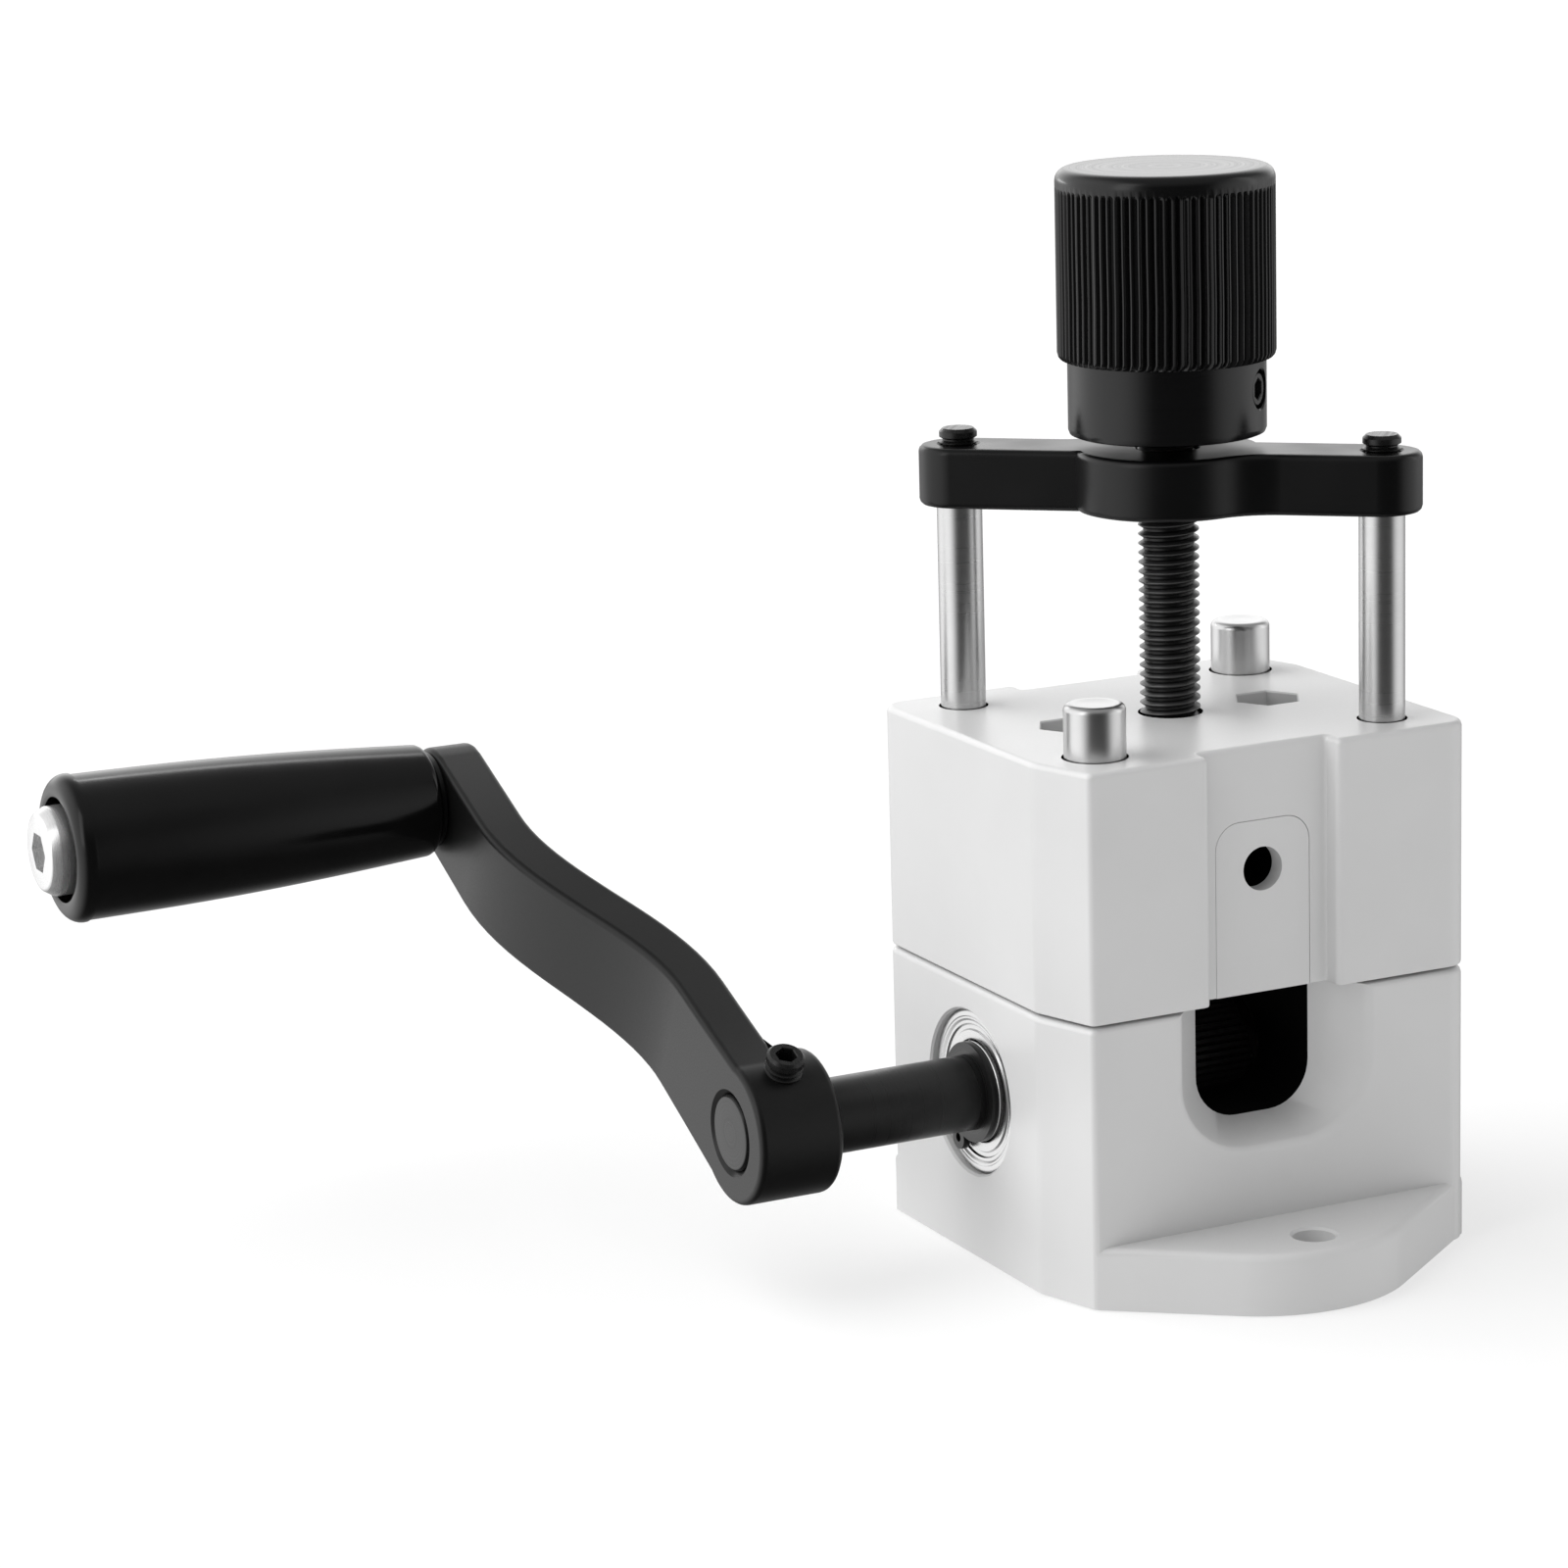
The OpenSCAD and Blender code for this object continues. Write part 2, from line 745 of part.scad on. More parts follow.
module upper_block() {
    cavity_d = 13;
    color("gainsboro")
    difference() {
        translate([0, 0, head_z]) linear_extrude(head_h) body_plan();
        front_and_back()
            translate([-channel_w / 2, -body_d / 2 - 1, head_z - 1])
                cube([channel_w, channel_depth + 1, head_h + 2]);
        carrier_bar(carrier_gap, 1);
        foot_plate(carrier_gap, 1);
        front_and_back() {
            translate([rod_at.x, -rod_at.y, head_z - 1])
                cylinder(d = rod_d + 2 * guide_gap, h = head_h + 2);
            translate([-dowel_at.x, -dowel_at.y, head_z - 1])
                cylinder(d = dowel_d + 2 * guide_gap, h = head_h + 2);
        }
        // lead screw's seat, the web's bore and the cavity for its washer and clip
        translate([0, 0, screw_z]) cylinder(d = screw_d + 2 * run_gap, h = screw_seat + 1);
        translate([0, 0, carrier_top - 1]) cylinder(d = foot_d + 2 * run_gap, h = head_h);
        translate([0, 0, carrier_top - 1]) cylinder(d = cavity_d, h = web_z - carrier_top + 1);
        both_carrier_screws() {
            translate([0, 0, pocket_z]) hex_bar(nut_flats, pocket_depth + 1);
            translate([0, 0, head_z])
                cylinder(d = small_screw_d + 2 * screw_hole_gap, h = pocket_z - head_z + 1);
        }
    }
}

module blade_carrier() {
    slot_l = blade_d + 2 * blade_slot_gap;
    color("gainsboro")
    difference() {
        union() {
            carrier_bar(0, 0);
            foot_plate(0, 0);
        }
        translate([-blade_slot_w / 2, shaft_y - slot_l / 2, head_z - 1])
            cube([blade_slot_w, slot_l, carrier_h + 2]);
        x_cylinder(-carrier_w, 2 * carrier_w, blade_pin_d, shaft_y, blade_z);
        translate([0, shaft_y - slot_l / 2 + 1, head_z + sight_h]) rotate([90, 0, 0])
            cylinder(d = sight_d, h = body_d);
        both_carrier_screws() {
            translate([0, 0, head_z - 1])
                cylinder(d = small_screw_d + 2 * screw_hole_gap, h = plate_t + 2);
            translate([0, 0, head_z]) countersink(2 * screw_hole_gap);
        }
    }
}

// A cone as deep as a countersunk head, its wide end at the bottom
module countersink(grow) {
    head_d = 2 * small_screw_d;
    cylinder(d1 = head_d + grow, d2 = small_screw_d + grow, h = (head_d - small_screw_d) / 2);
}

module carrier_screw() {
    screw_l = nut_z + nut_t - head_z - 0.5;
    color("#3a3a3a")
    translate([0, 0, head_z]) difference() {
        union() {
            countersink(0);
            cylinder(d = small_screw_d, h = screw_l);
        }
        translate([0, 0, -1]) hex_bar(3, 2.5);
    }
}

module carrier_nut() {
    nut_gap = 0.1;
    color("darkgray")
    translate([0, 0, nut_z]) difference() {
        hex_bar(nut_flats - 2 * nut_gap, nut_t);
        translate([0, 0, -1]) cylinder(d = small_screw_d, h = nut_t + 2);
    }
}

module carrier_screw_left() { translate([-carrier_screw_x, 0, 0]) carrier_screw(); }
module carrier_screw_right() { translate([carrier_screw_x, 0, 0]) carrier_screw(); }
module carrier_nut_left() { translate([-carrier_screw_x, 0, 0]) carrier_nut(); }
module carrier_nut_right() { translate([carrier_screw_x, 0, 0]) carrier_nut(); }

module blade_pin() {
    color("silver")
    x_cylinder(-carrier_w / 2, carrier_w, blade_pin_d, shaft_y, blade_z);
}

module blade_washers() {
    washer_w = (blade_slot_w - blade_t) / 2 - end_play;
    color("darkgray")
    for (x = [-blade_slot_w / 2, blade_slot_w / 2 - washer_w])
        difference() {
            x_cylinder(x, washer_w, blade_washer_d, shaft_y, blade_z);
            x_cylinder(x - 1, washer_w + 2, blade_pin_d, shaft_y, blade_z);
        }
}

module slitting_blade() {
    bevel = 2;
    edge_t = 0.1;
    color("whitesmoke")
    translate([0, shaft_y, blade_z]) along_x() rotate_extrude()
        polygon([
            [blade_pin_d / 2 + run_gap, -blade_t / 2], [blade_d / 2 - bevel, -blade_t / 2],
            [blade_d / 2, -edge_t / 2], [blade_d / 2, edge_t / 2],
            [blade_d / 2 - bevel, blade_t / 2], [blade_pin_d / 2 + run_gap, blade_t / 2]
        ]);
}

// ---- lead screw and knob ----

module lead_screw() {
    clip_z = foot_z + foot_end;
    neck_d = foot_d - 1;
    color("slategray")
    difference() {
        union() {
            translate([0, 0, foot_z]) cylinder(d = foot_d, h = screw_z + end_play - foot_z + cut);
            translate([0, 0, screw_z + end_play])
                ringed_bar(screw_d, screw_top - screw_z - end_play, screw_pitch);
        }
        // groove for the clip
        translate([0, 0, clip_z]) difference() {
            cylinder(d = foot_d + 1, h = foot_clip_t);
            cylinder(d = neck_d, h = foot_clip_t);
        }
    }
}

module screw_washer() {
    color("darkgray")
    translate([0, 0, web_z - end_play - washer_t]) difference() {
        cylinder(d = 2 * foot_d, h = washer_t);
        translate([0, 0, -1]) cylinder(d = foot_d, h = washer_t + 2);
    }
}

module screw_clip() {
    clip_d = foot_d + 4;
    color("#303030")
    translate([0, 0, foot_z + foot_end]) difference() {
        cylinder(d = clip_d, h = foot_clip_t);
        translate([0, 0, -1]) cylinder(d = foot_d - 1, h = foot_clip_t + 2);
        translate([0, -foot_d * 0.3, -1]) cube([clip_d, foot_d * 0.6, foot_clip_t + 2]);
    }
}

// The knob's set screw points outwards across the collar
module knob_screw_axis() {
    translate([0, 0, collar_z + knob_screw_h]) rotate([0, 0, knob_screw_turn])
        rotate([0, 90, 0]) children();
}

module knob() {
    edge = 0.6;
    color("#181818")
    difference() {
        translate([0, 0, collar_z]) rotate_extrude() polygon(concat(
            [[0, 0], [collar_d / 2 - edge, 0], [collar_d / 2, edge], [collar_d / 2, collar_h]],
            [[knob_d / 2 - edge, collar_h], [knob_d / 2, collar_h + edge]],
            arc([knob_d / 2 - knob_shoulder, collar_h + knob_h - knob_shoulder],
                knob_shoulder, 0, 90, 5),
            [[0, collar_h + knob_h]]
        ));
        translate([0, 0, collar_z - 1]) cylinder(d = screw_d, h = screw_top - collar_z + 1);
        knob_screw_axis() cylinder(d = small_screw_d, h = knob_d);
    }
}

module knob_set_screw() {
    screw_sunk = 0.4;
    color("#202020")
    knob_screw_axis() translate([0, 0, screw_d / 2])
        set_screw(small_screw_d, (collar_d - screw_d) / 2 - screw_sunk);
}

lower_block();
guide_rod_left();
guide_rod_right();
dowel_front();
dowel_back();
bridge();
bearing_left_outer_ring();
bearing_right_outer_ring();
bearing_left_shield();
bearing_right_shield();
drive_shaft();
feed_roller();
roller_set_screw();
spacer_left();
spacer_right();
bearing_left_inner_ring();
bearing_right_inner_ring();
bearing_left_balls();
bearing_right_balls();
circlip_left();
circlip_right();
crank_arm();
crank_set_screw();
handle_bolt();
grip_washer();
handle_grip();
upper_block();
blade_carrier();
carrier_screw_left();
carrier_screw_right();
carrier_nut_left();
carrier_nut_right();
blade_pin();
blade_washers();
slitting_blade();
lead_screw();
screw_washer();
screw_clip();
knob();
knob_set_screw();
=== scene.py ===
import json
from math import asin, atan2, cos, degrees, hypot, pi, radians, sin, sqrt

import bpy
from mathutils import Matrix, Vector

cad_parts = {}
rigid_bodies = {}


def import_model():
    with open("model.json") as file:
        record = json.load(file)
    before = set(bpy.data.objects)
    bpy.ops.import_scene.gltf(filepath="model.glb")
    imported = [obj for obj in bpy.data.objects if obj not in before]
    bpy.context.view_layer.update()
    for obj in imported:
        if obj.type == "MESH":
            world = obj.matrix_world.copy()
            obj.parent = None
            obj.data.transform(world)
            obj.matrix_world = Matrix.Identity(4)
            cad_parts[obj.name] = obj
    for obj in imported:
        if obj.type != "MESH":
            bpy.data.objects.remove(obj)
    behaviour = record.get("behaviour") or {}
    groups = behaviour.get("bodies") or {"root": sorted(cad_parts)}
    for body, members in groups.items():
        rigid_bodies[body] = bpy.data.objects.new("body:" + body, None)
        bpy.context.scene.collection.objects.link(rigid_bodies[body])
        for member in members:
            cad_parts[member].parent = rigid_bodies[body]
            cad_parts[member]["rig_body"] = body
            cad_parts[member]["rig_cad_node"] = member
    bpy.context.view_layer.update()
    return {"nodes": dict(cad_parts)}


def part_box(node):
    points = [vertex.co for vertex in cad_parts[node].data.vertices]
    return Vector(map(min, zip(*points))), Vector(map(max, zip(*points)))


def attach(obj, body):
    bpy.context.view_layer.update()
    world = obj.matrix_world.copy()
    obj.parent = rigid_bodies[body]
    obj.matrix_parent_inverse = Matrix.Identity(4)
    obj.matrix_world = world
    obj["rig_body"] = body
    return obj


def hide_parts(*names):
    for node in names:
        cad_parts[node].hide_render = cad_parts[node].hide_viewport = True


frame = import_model()
mm = 0.001  # the frame is in metres, the sizes below are in millimetres


# ---- working on one piece at a time ----

def editAll():
    bpy.ops.object.mode_set(mode="EDIT")
    bpy.ops.mesh.select_all(action="SELECT")


def leaveEdit():
    bpy.ops.object.mode_set(mode="OBJECT")


def alone(piece):
    if bpy.context.mode != "OBJECT":
        leaveEdit()
    bpy.ops.object.select_all(action="DESELECT")
    if piece is not None:
        bpy.context.view_layer.objects.active = piece
        piece.select_set(True)


def named(name):
    # the primitive just added, with its place put into its mesh
    piece = bpy.context.object
    piece.name = name
    piece.data.name = name
    bpy.ops.object.transform_apply(location=True, rotation=True, scale=True)
    return piece


def block(name, low, high):
    alone(None)
    size = [(h - l) * mm for l, h in zip(low, high)]
    middle = [(h + l) / 2 * mm for l, h in zip(low, high)]
    bpy.ops.mesh.primitive_cube_add(size=1, location=middle, scale=size)
    return named(name)


def bar(name, start, end, radius, sides=64, turn=0.0):
    # a straight bar between two points, turned about its own length
    alone(None)
    line = (Vector(end) - Vector(start)) * mm
    middle = (Vector(end) + Vector(start)) / 2 * mm
    facing = line.to_track_quat("Z", "Y").to_matrix() @ Matrix.Rotation(turn, 3, "Z")
    bpy.ops.mesh.primitive_cylinder_add(vertices=sides, radius=radius * mm, depth=line.length,
                                        location=middle, rotation=facing.to_euler())
    return named(name)


def editPicked(piece, kind, test, sharpOver=None):
    # selects by place and leaves the piece in edit mode; with sharpOver, only edges sharper than that
    alone(piece)
    bpy.ops.object.mode_set(mode="EDIT")
    bpy.ops.mesh.select_mode(type=kind)
    bpy.ops.mesh.select_all(action="DESELECT")
    if sharpOver is not None:
        bpy.ops.mesh.edges_select_sharp(sharpness=radians(sharpOver))
    leaveEdit()
    mesh = piece.data
    points = [v.co / mm for v in mesh.vertices]
    if kind == "VERT":
        for v in mesh.vertices:
            v.select = test(points[v.index])
    elif kind == "EDGE":
        for e in mesh.edges:
            a, b = points[e.vertices[0]], points[e.vertices[1]]
            e.select = test(a, b) and (sharpOver is None or e.select)
        if sharpOver is not None:
            chosen = {i for e in mesh.edges if e.select for i in e.vertices}
            for v in mesh.vertices:
                v.select = v.index in chosen
    else:
        for f in mesh.polygons:
            f.select = test(f.center / mm, f.normal)
    bpy.ops.object.mode_set(mode="EDIT")


def roundEdges(piece, width, steps, test, sharpOver=None):
    editPicked(piece, "EDGE", test, sharpOver)
    bpy.ops.mesh.bevel(offset=width * mm, segments=steps, affect="EDGES", clamp_overlap=False)
    leaveEdit()


def sliceOff(piece, point, normal):
    # cuts away what lies past the plane and closes the cut
    editPicked(piece, "VERT", lambda p: True)
    bpy.ops.mesh.bisect(plane_co=[c * mm for c in point], plane_no=Vector(normal).normalized(),
                        use_fill=True, clear_outer=True)
    leaveEdit()


def joined(first, *others):
    alone(first)
    for piece in others:
        piece.select_set(True)
    bpy.ops.object.join()
    return first


def carve(piece, cutter, how="DIFFERENCE"):
    # new faces take the cutter's finish where it has one
    alone(piece)
    bpy.ops.object.modifier_add(type="BOOLEAN")
    tool = piece.modifiers[-1]
    tool.operation = how
    tool.solver = "EXACT"
    tool.material_mode = "TRANSFER"
    tool.object = cutter
    bpy.ops.object.modifier_apply(modifier=tool.name)
    bpy.data.objects.remove(cutter)


def extrude(way):
    bpy.ops.mesh.extrude_region_move(TRANSFORM_OT_translate={"value": way})


def scaleAbout(middle, x, y, z):
    bpy.ops.transform.resize(value=(x, y, z), center_override=middle)


def drawn(name, points, closed=False):
    # one vertex, drawn out from point to point
    alone(None)
    points = [Vector(p) * mm for p in points]
    bpy.ops.mesh.primitive_plane_add(size=mm, location=points[0])
    piece = named(name)
    bpy.ops.object.mode_set(mode="EDIT")
    bpy.ops.mesh.select_mode(type="VERT")
    bpy.ops.mesh.select_all(action="SELECT")
    bpy.ops.mesh.merge(type="CENTER")
    for here, there in zip(points, points[1:]):
        extrude(there - here)
    bpy.ops.mesh.select_all(action="SELECT")
    if closed:
        bpy.ops.mesh.edge_face_add()
    leaveEdit()
    return piece


def pulled(piece, way):
    # a drawn outline, extruded into a solid
    editPicked(piece, "FACE", lambda c, n: True)
    extrude(Vector(way) * mm)
    bpy.ops.mesh.select_all(action="SELECT")
    bpy.ops.mesh.normals_make_consistent(inside=False)
    leaveEdit()
    return piece


def turned(name, profile, centre, axis, sides=96):
    # a profile of (radius, height along the axis), spun round the axis and closed
    axis, centre = Vector(axis), Vector(centre)
    outward = Vector((0, 0, 1)) if abs(axis.z) < 0.5 else Vector((1, 0, 0))
    piece = drawn(name, [centre + outward * r + axis * h for r, h in profile])
    editAll()
    bpy.ops.mesh.spin(steps=sides, angle=2 * pi, center=centre * mm, axis=axis)
    bpy.ops.mesh.select_all(action="SELECT")
    bpy.ops.mesh.remove_doubles(threshold=0.002 * mm)
    bpy.ops.mesh.normals_make_consistent(inside=False)
    leaveEdit()
    return piece


def arcOf(centre, radius, first, last, steps):
    # points of an arc, in degrees
    return [(centre[0] + radius * cos(radians(first + (last - first) * i / steps)),
             centre[1] + radius * sin(radians(first + (last - first) * i / steps)))
            for i in range(steps + 1)]


def boxOf(node):
    low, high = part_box(node)
    return low / mm, high / mm


def finish(piece, body, nodes, materials=None, smooth=32, flatten=True):
    alone(piece)
    bpy.ops.object.transform_apply(location=True, rotation=True, scale=True)
    editAll()
    bpy.ops.mesh.remove_doubles(threshold=0.0015 * mm)
    bpy.ops.mesh.dissolve_degenerate(threshold=0.001 * mm)
    bpy.ops.mesh.select_all(action="SELECT")
    bpy.ops.mesh.normals_make_consistent(inside=False)
    leaveEdit()
    bpy.ops.object.shade_smooth_by_angle(angle=radians(smooth))
    if flatten:  # wide flat faces stay flat beside their rounded edges
        bpy.ops.object.modifier_add(type="WEIGHTED_NORMAL")
        piece.modifiers[-1].keep_sharp = True
        bpy.ops.object.modifier_apply(modifier=piece.modifiers[-1].name)
    if materials is not None:
        piece.data.materials.clear()
        for material in materials:
            piece.data.materials.append(material)
    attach(piece, body)
    if nodes:
        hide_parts(*nodes)
    return piece


# ---- finishes ----

def toLinear(shade, alpha=1.0):
    parts = [int(shade[i:i + 2], 16) / 255 for i in (1, 3, 5)]
    return [p / 12.92 if p <= 0.04045 else ((p + 0.055) / 1.055) ** 2.4 for p in parts] + [alpha]


def addNode(tree, kind, settings, links):
    # settings are the node's own properties, or inputs by name or number; links are inputs fed by a socket
    node = tree.nodes.new("ShaderNode" + kind)
    for name, value in settings.items():
        if not isinstance(name, int) and hasattr(node, name):
            setattr(node, name, value)
    for name, value in settings.items():
        if isinstance(name, int) or not hasattr(node, name):
            node.inputs[name].default_value = value
    for name, source in links.items():
        tree.links.new(source, node.inputs[name])
    return node


def newFinish(name):
    material = bpy.data.materials.new(name)
    material.use_nodes = True
    tree = material.node_tree
    tree.nodes.clear()
    place = addNode(tree, "TexCoord", {}, {}).outputs["Object"]
    return material, tree, place


def surface(tree, settings, links):
    shader = addNode(tree, "BsdfPrincipled", settings, links)
    addNode(tree, "OutputMaterial", {}, {"Surface": shader.outputs["BSDF"]})


def lathePlace(tree, place, centre, axis):
    # (radius, 0, height) about an axis, so that a pattern on it runs all the way round
    here = addNode(tree, "VectorMath", {"operation": "SUBTRACT", 1: Vector(centre) * mm},
                   {0: place}).outputs[0]
    across = Vector([1 - abs(a) for a in axis])
    flat = addNode(tree, "VectorMath", {"operation": "MULTIPLY", 1: across}, {0: here}).outputs[0]
    radius = addNode(tree, "VectorMath", {"operation": "LENGTH"}, {0: flat}).outputs["Value"]
    height = addNode(tree, "VectorMath", {"operation": "DOT_PRODUCT", 1: axis}, {0: here}).outputs["Value"]
    return addNode(tree, "CombineXYZ", {}, {"X": radius, "Z": height}).outputs[0]


def spread(tree, source, low, high, fromLow=0.3, fromHigh=0.7):
    # a pattern's usual range, laid over the values wanted
    return addNode(tree, "MapRange",
                   {"From Min": fromLow, "From Max": fromHigh, "To Min": low, "To Max": high},
                   {"Value": source}).outputs["Result"]


def twoShades(tree, source, dark, light):
    return addNode(tree, "Mix", {"data_type": "RGBA", 6: toLinear(dark), 7: toLinear(light)},
                   {0: source}).outputs[2]


def moulded():
    # satin grey ABS, moulded in a spark-eroded tool: a fine even grain and a soft broad gloss
    sizes = {"grain": 0.32, "cloud": 14, "dark": "#cfcfcf", "light": "#d6d6d6"}
    material, tree, place = newFinish("mouldedGreyPlastic")
    grain = addNode(tree, "TexNoise", {"Scale": 1 / (sizes["grain"] * mm), "Detail": 2.0},
                    {"Vector": place}).outputs[0]
    cloud = addNode(tree, "TexNoise", {"Scale": 1 / (sizes["cloud"] * mm), "Detail": 3.0},
                    {"Vector": place}).outputs[0]
    shade = twoShades(tree, cloud, sizes["dark"], sizes["light"])
    rough = spread(tree, grain, 0.30, 0.38)
    bump = addNode(tree, "Bump", {"Strength": 0.22, "Distance": 0.012 * mm}, {"Height": grain}).outputs[0]
    surface(tree, {"IOR": 1.5}, {"Base Color": shade, "Roughness": rough, "Normal": bump})
    return material


def makePaintedShade():
    # painted shade: matt black put on the faces inside the slots, the chamber, the bores and behind the
    # sight hole, in place of the shade there; no light comes back
    material, tree, place = newFinish("paintedShadeInside")
    dust = addNode(tree, "TexNoise", {"Scale": 1 / (0.6 * mm), "Detail": 2.0}, {"Vector": place}).outputs[0]
    shade = twoShades(tree, dust, "#020202", "#060606")
    surface(tree, {"IOR": 1.45, "Roughness": 0.95, "Specular IOR Level": 0.1}, {"Base Color": shade})
    return material


def groundSteel(name, centre, light="#cfcfcf", dark="#c0c0c0", rough=(0.27, 0.33)):
    # ground hardened steel: bright, with fine grinding lines running round the pin
    material, tree, place = newFinish(name)
    lathe = lathePlace(tree, place, centre, (0, 0, 1))
    lines = addNode(tree, "TexNoise", {"Scale": 1 / (0.22 * mm), "Detail": 3.0},
                    {"Vector": lathe}).outputs[0]
    broad = addNode(tree, "TexNoise", {"Scale": 1 / (9 * mm), "Detail": 2.0}, {"Vector": place}).outputs[0]
    shade = twoShades(tree, broad, dark, light)
    gloss = spread(tree, lines, rough[0], rough[1])
    bump = addNode(tree, "Bump", {"Strength": 0.05, "Distance": 0.006 * mm}, {"Height": lines}).outputs[0]
    surface(tree, {"Metallic": 1.0}, {"Base Color": shade, "Roughness": gloss, "Normal": bump})
    return material


def bearingSteel(centre):
    # chrome bearing steel, fine turned and polished: sharp bright rings
    material, tree, place = newFinish("polishedBearingSteel")
    lathe = lathePlace(tree, place, centre, (1, 0, 0))
    lines = addNode(tree, "TexNoise", {"Scale": 1 / (0.4 * mm), "Detail": 1.0},
                    {"Vector": lathe}).outputs[0]
    shade = twoShades(tree, lines, "#c4c4c4", "#d6d6d6")
    gloss = spread(tree, lines, 0.24, 0.30)
    bump = addNode(tree, "Bump", {"Strength": 0.03, "Distance": 0.008 * mm}, {"Height": lines}).outputs[0]
    surface(tree, {"Metallic": 1.0}, {"Base Color": shade, "Roughness": gloss, "Normal": bump})
    return material


def anodised():
    # black anodised aluminium, bead blasted: deep black with a soft even sheen
    sizes = {"bead": 0.25, "dark": "#060606", "light": "#0a0a0b"}
    material, tree, place = newFinish("blackAnodisedAluminium")
    bead = addNode(tree, "TexNoise", {"Scale": 1 / (sizes["bead"] * mm), "Detail": 2.0},
                   {"Vector": place}).outputs[0]
    cloud = addNode(tree, "TexNoise", {"Scale": 1 / (11 * mm), "Detail": 3.0}, {"Vector": place}).outputs[0]
    shade = twoShades(tree, cloud, sizes["dark"], sizes["light"])
    gloss = spread(tree, cloud, 0.27, 0.35)
    bump = addNode(tree, "Bump", {"Strength": 0.12, "Distance": 0.006 * mm}, {"Height": bead}).outputs[0]
    surface(tree, {"IOR": 1.5, "Specular IOR Level": 0.3},
            {"Base Color": shade, "Roughness": gloss, "Normal": bump})
    return material


def anodisedTurned():
    # the same anodising over turned metal, with fine lathe lines round the collar and top
    sizes = {"line": 0.2, "dark": "#050505", "light": "#0c0c0d"}
    material, tree, place = newFinish("blackAnodisedTurned")
    lathe = lathePlace(tree, place, (0, 0, 0), (0, 0, 1))
    lines = addNode(tree, "TexNoise", {"Scale": 1 / (sizes["line"] * mm), "Detail": 4.0, "Roughness": 0.7},
                    {"Vector": lathe}).outputs[0]
    shade = twoShades(tree, lines, sizes["dark"], sizes["light"])
    gloss = spread(tree, lines, 0.17, 0.27)
    bump = addNode(tree, "Bump", {"Strength": 0.35, "Distance": 0.012 * mm}, {"Height": lines}).outputs[0]
    surface(tree, {"IOR": 1.5, "Specular IOR Level": 0.35},
            {"Base Color": shade, "Roughness": gloss, "Normal": bump})
    return material


def paintedCrank():
    # powder-coated aluminium, satin: charcoal rather than black, with a very slight orange peel
    sizes = {"peel": 0.9, "dark": "#090909", "light": "#0d0d0d"}
    material, tree, place = newFinish("satinBlackPowderCoat")
    peel = addNode(tree, "TexNoise", {"Scale": 1 / (sizes["peel"] * mm), "Detail": 2.0},
                   {"Vector": place}).outputs[0]
    fine = addNode(tree, "TexNoise", {"Scale": 1 / (0.2 * mm), "Detail": 1.0}, {"Vector": place}).outputs[0]
    shade = twoShades(tree, peel, sizes["dark"], sizes["light"])
    gloss = spread(tree, fine, 0.33, 0.42)
    bump = addNode(tree, "Bump", {"Strength": 0.10, "Distance": 0.012 * mm}, {"Height": peel}).outputs[0]
    surface(tree, {"IOR": 1.5, "Specular IOR Level": 0.35},
            {"Base Color": shade, "Roughness": gloss, "Normal": bump})
    return material


def oxideSteel(name, centre, axis, dark="#0f0f0f", light="#1b1b1b", rough=(0.26, 0.36), metal=0.12):
    # turned steel blacked in a hot oxide bath: dark, slightly metallic, lines round the axis
    material, tree, place = newFinish(name)
    lathe = lathePlace(tree, place, centre, axis)
    lines = addNode(tree, "TexNoise", {"Scale": 1 / (0.3 * mm), "Detail": 3.0},
                    {"Vector": lathe}).outputs[0]
    shade = twoShades(tree, lines, dark, light)
    gloss = spread(tree, lines, rough[0], rough[1])
    bump = addNode(tree, "Bump", {"Strength": 0.15, "Distance": 0.008 * mm}, {"Height": lines}).outputs[0]
    surface(tree, {"Metallic": metal, "Specular IOR Level": 0.4},
            {"Base Color": shade, "Roughness": gloss, "Normal": bump})
    return material


def rolledThread():
    # rolled steel thread with a thin grey phosphate film: the grey is the film's own, the darker flanks are
    # painted shade and the brighter crests a painted highlight
    material, tree, place = newFinish("phosphatedThread")
    lathe = lathePlace(tree, place, (0, 0, 0), (0, 0, 1))
    radius = addNode(tree, "SeparateXYZ", {}, {"Vector": lathe}).outputs["X"]
    # painted light: lighter towards the crests, darker in the roots
    crestHighlightRootShade = spread(tree, radius, 0.0, 1.0, 3.4 * mm, 4.0 * mm)
    grit = addNode(tree, "TexNoise", {"Scale": 1 / (0.3 * mm), "Detail": 2.0}, {"Vector": place}).outputs[0]
    shade = twoShades(tree, crestHighlightRootShade, "#2a2a2a", "#5c5c5c")
    gloss = spread(tree, grit, 0.28, 0.42)
    surface(tree, {"Metallic": 0.85}, {"Base Color": shade, "Roughness": gloss})
    return material


def glossyGrip():
    # injection-moulded phenolic handle, polished: black with long clear highlights
    material, tree, place = newFinish("glossyBlackPhenolic")
    flow = addNode(tree, "TexNoise", {"Scale": 1 / (6 * mm), "Detail": 3.0}, {"Vector": place}).outputs[0]
    shade = twoShades(tree, flow, "#060606", "#0c0c0c")
    gloss = spread(tree, flow, 0.16, 0.21)
    bump = addNode(tree, "Bump", {"Strength": 0.04, "Distance": 0.02 * mm}, {"Height": flow}).outputs[0]
    surface(tree, {"IOR": 1.5, "Specular IOR Level": 0.32},
            {"Base Color": shade, "Roughness": gloss, "Normal": bump})
    return material


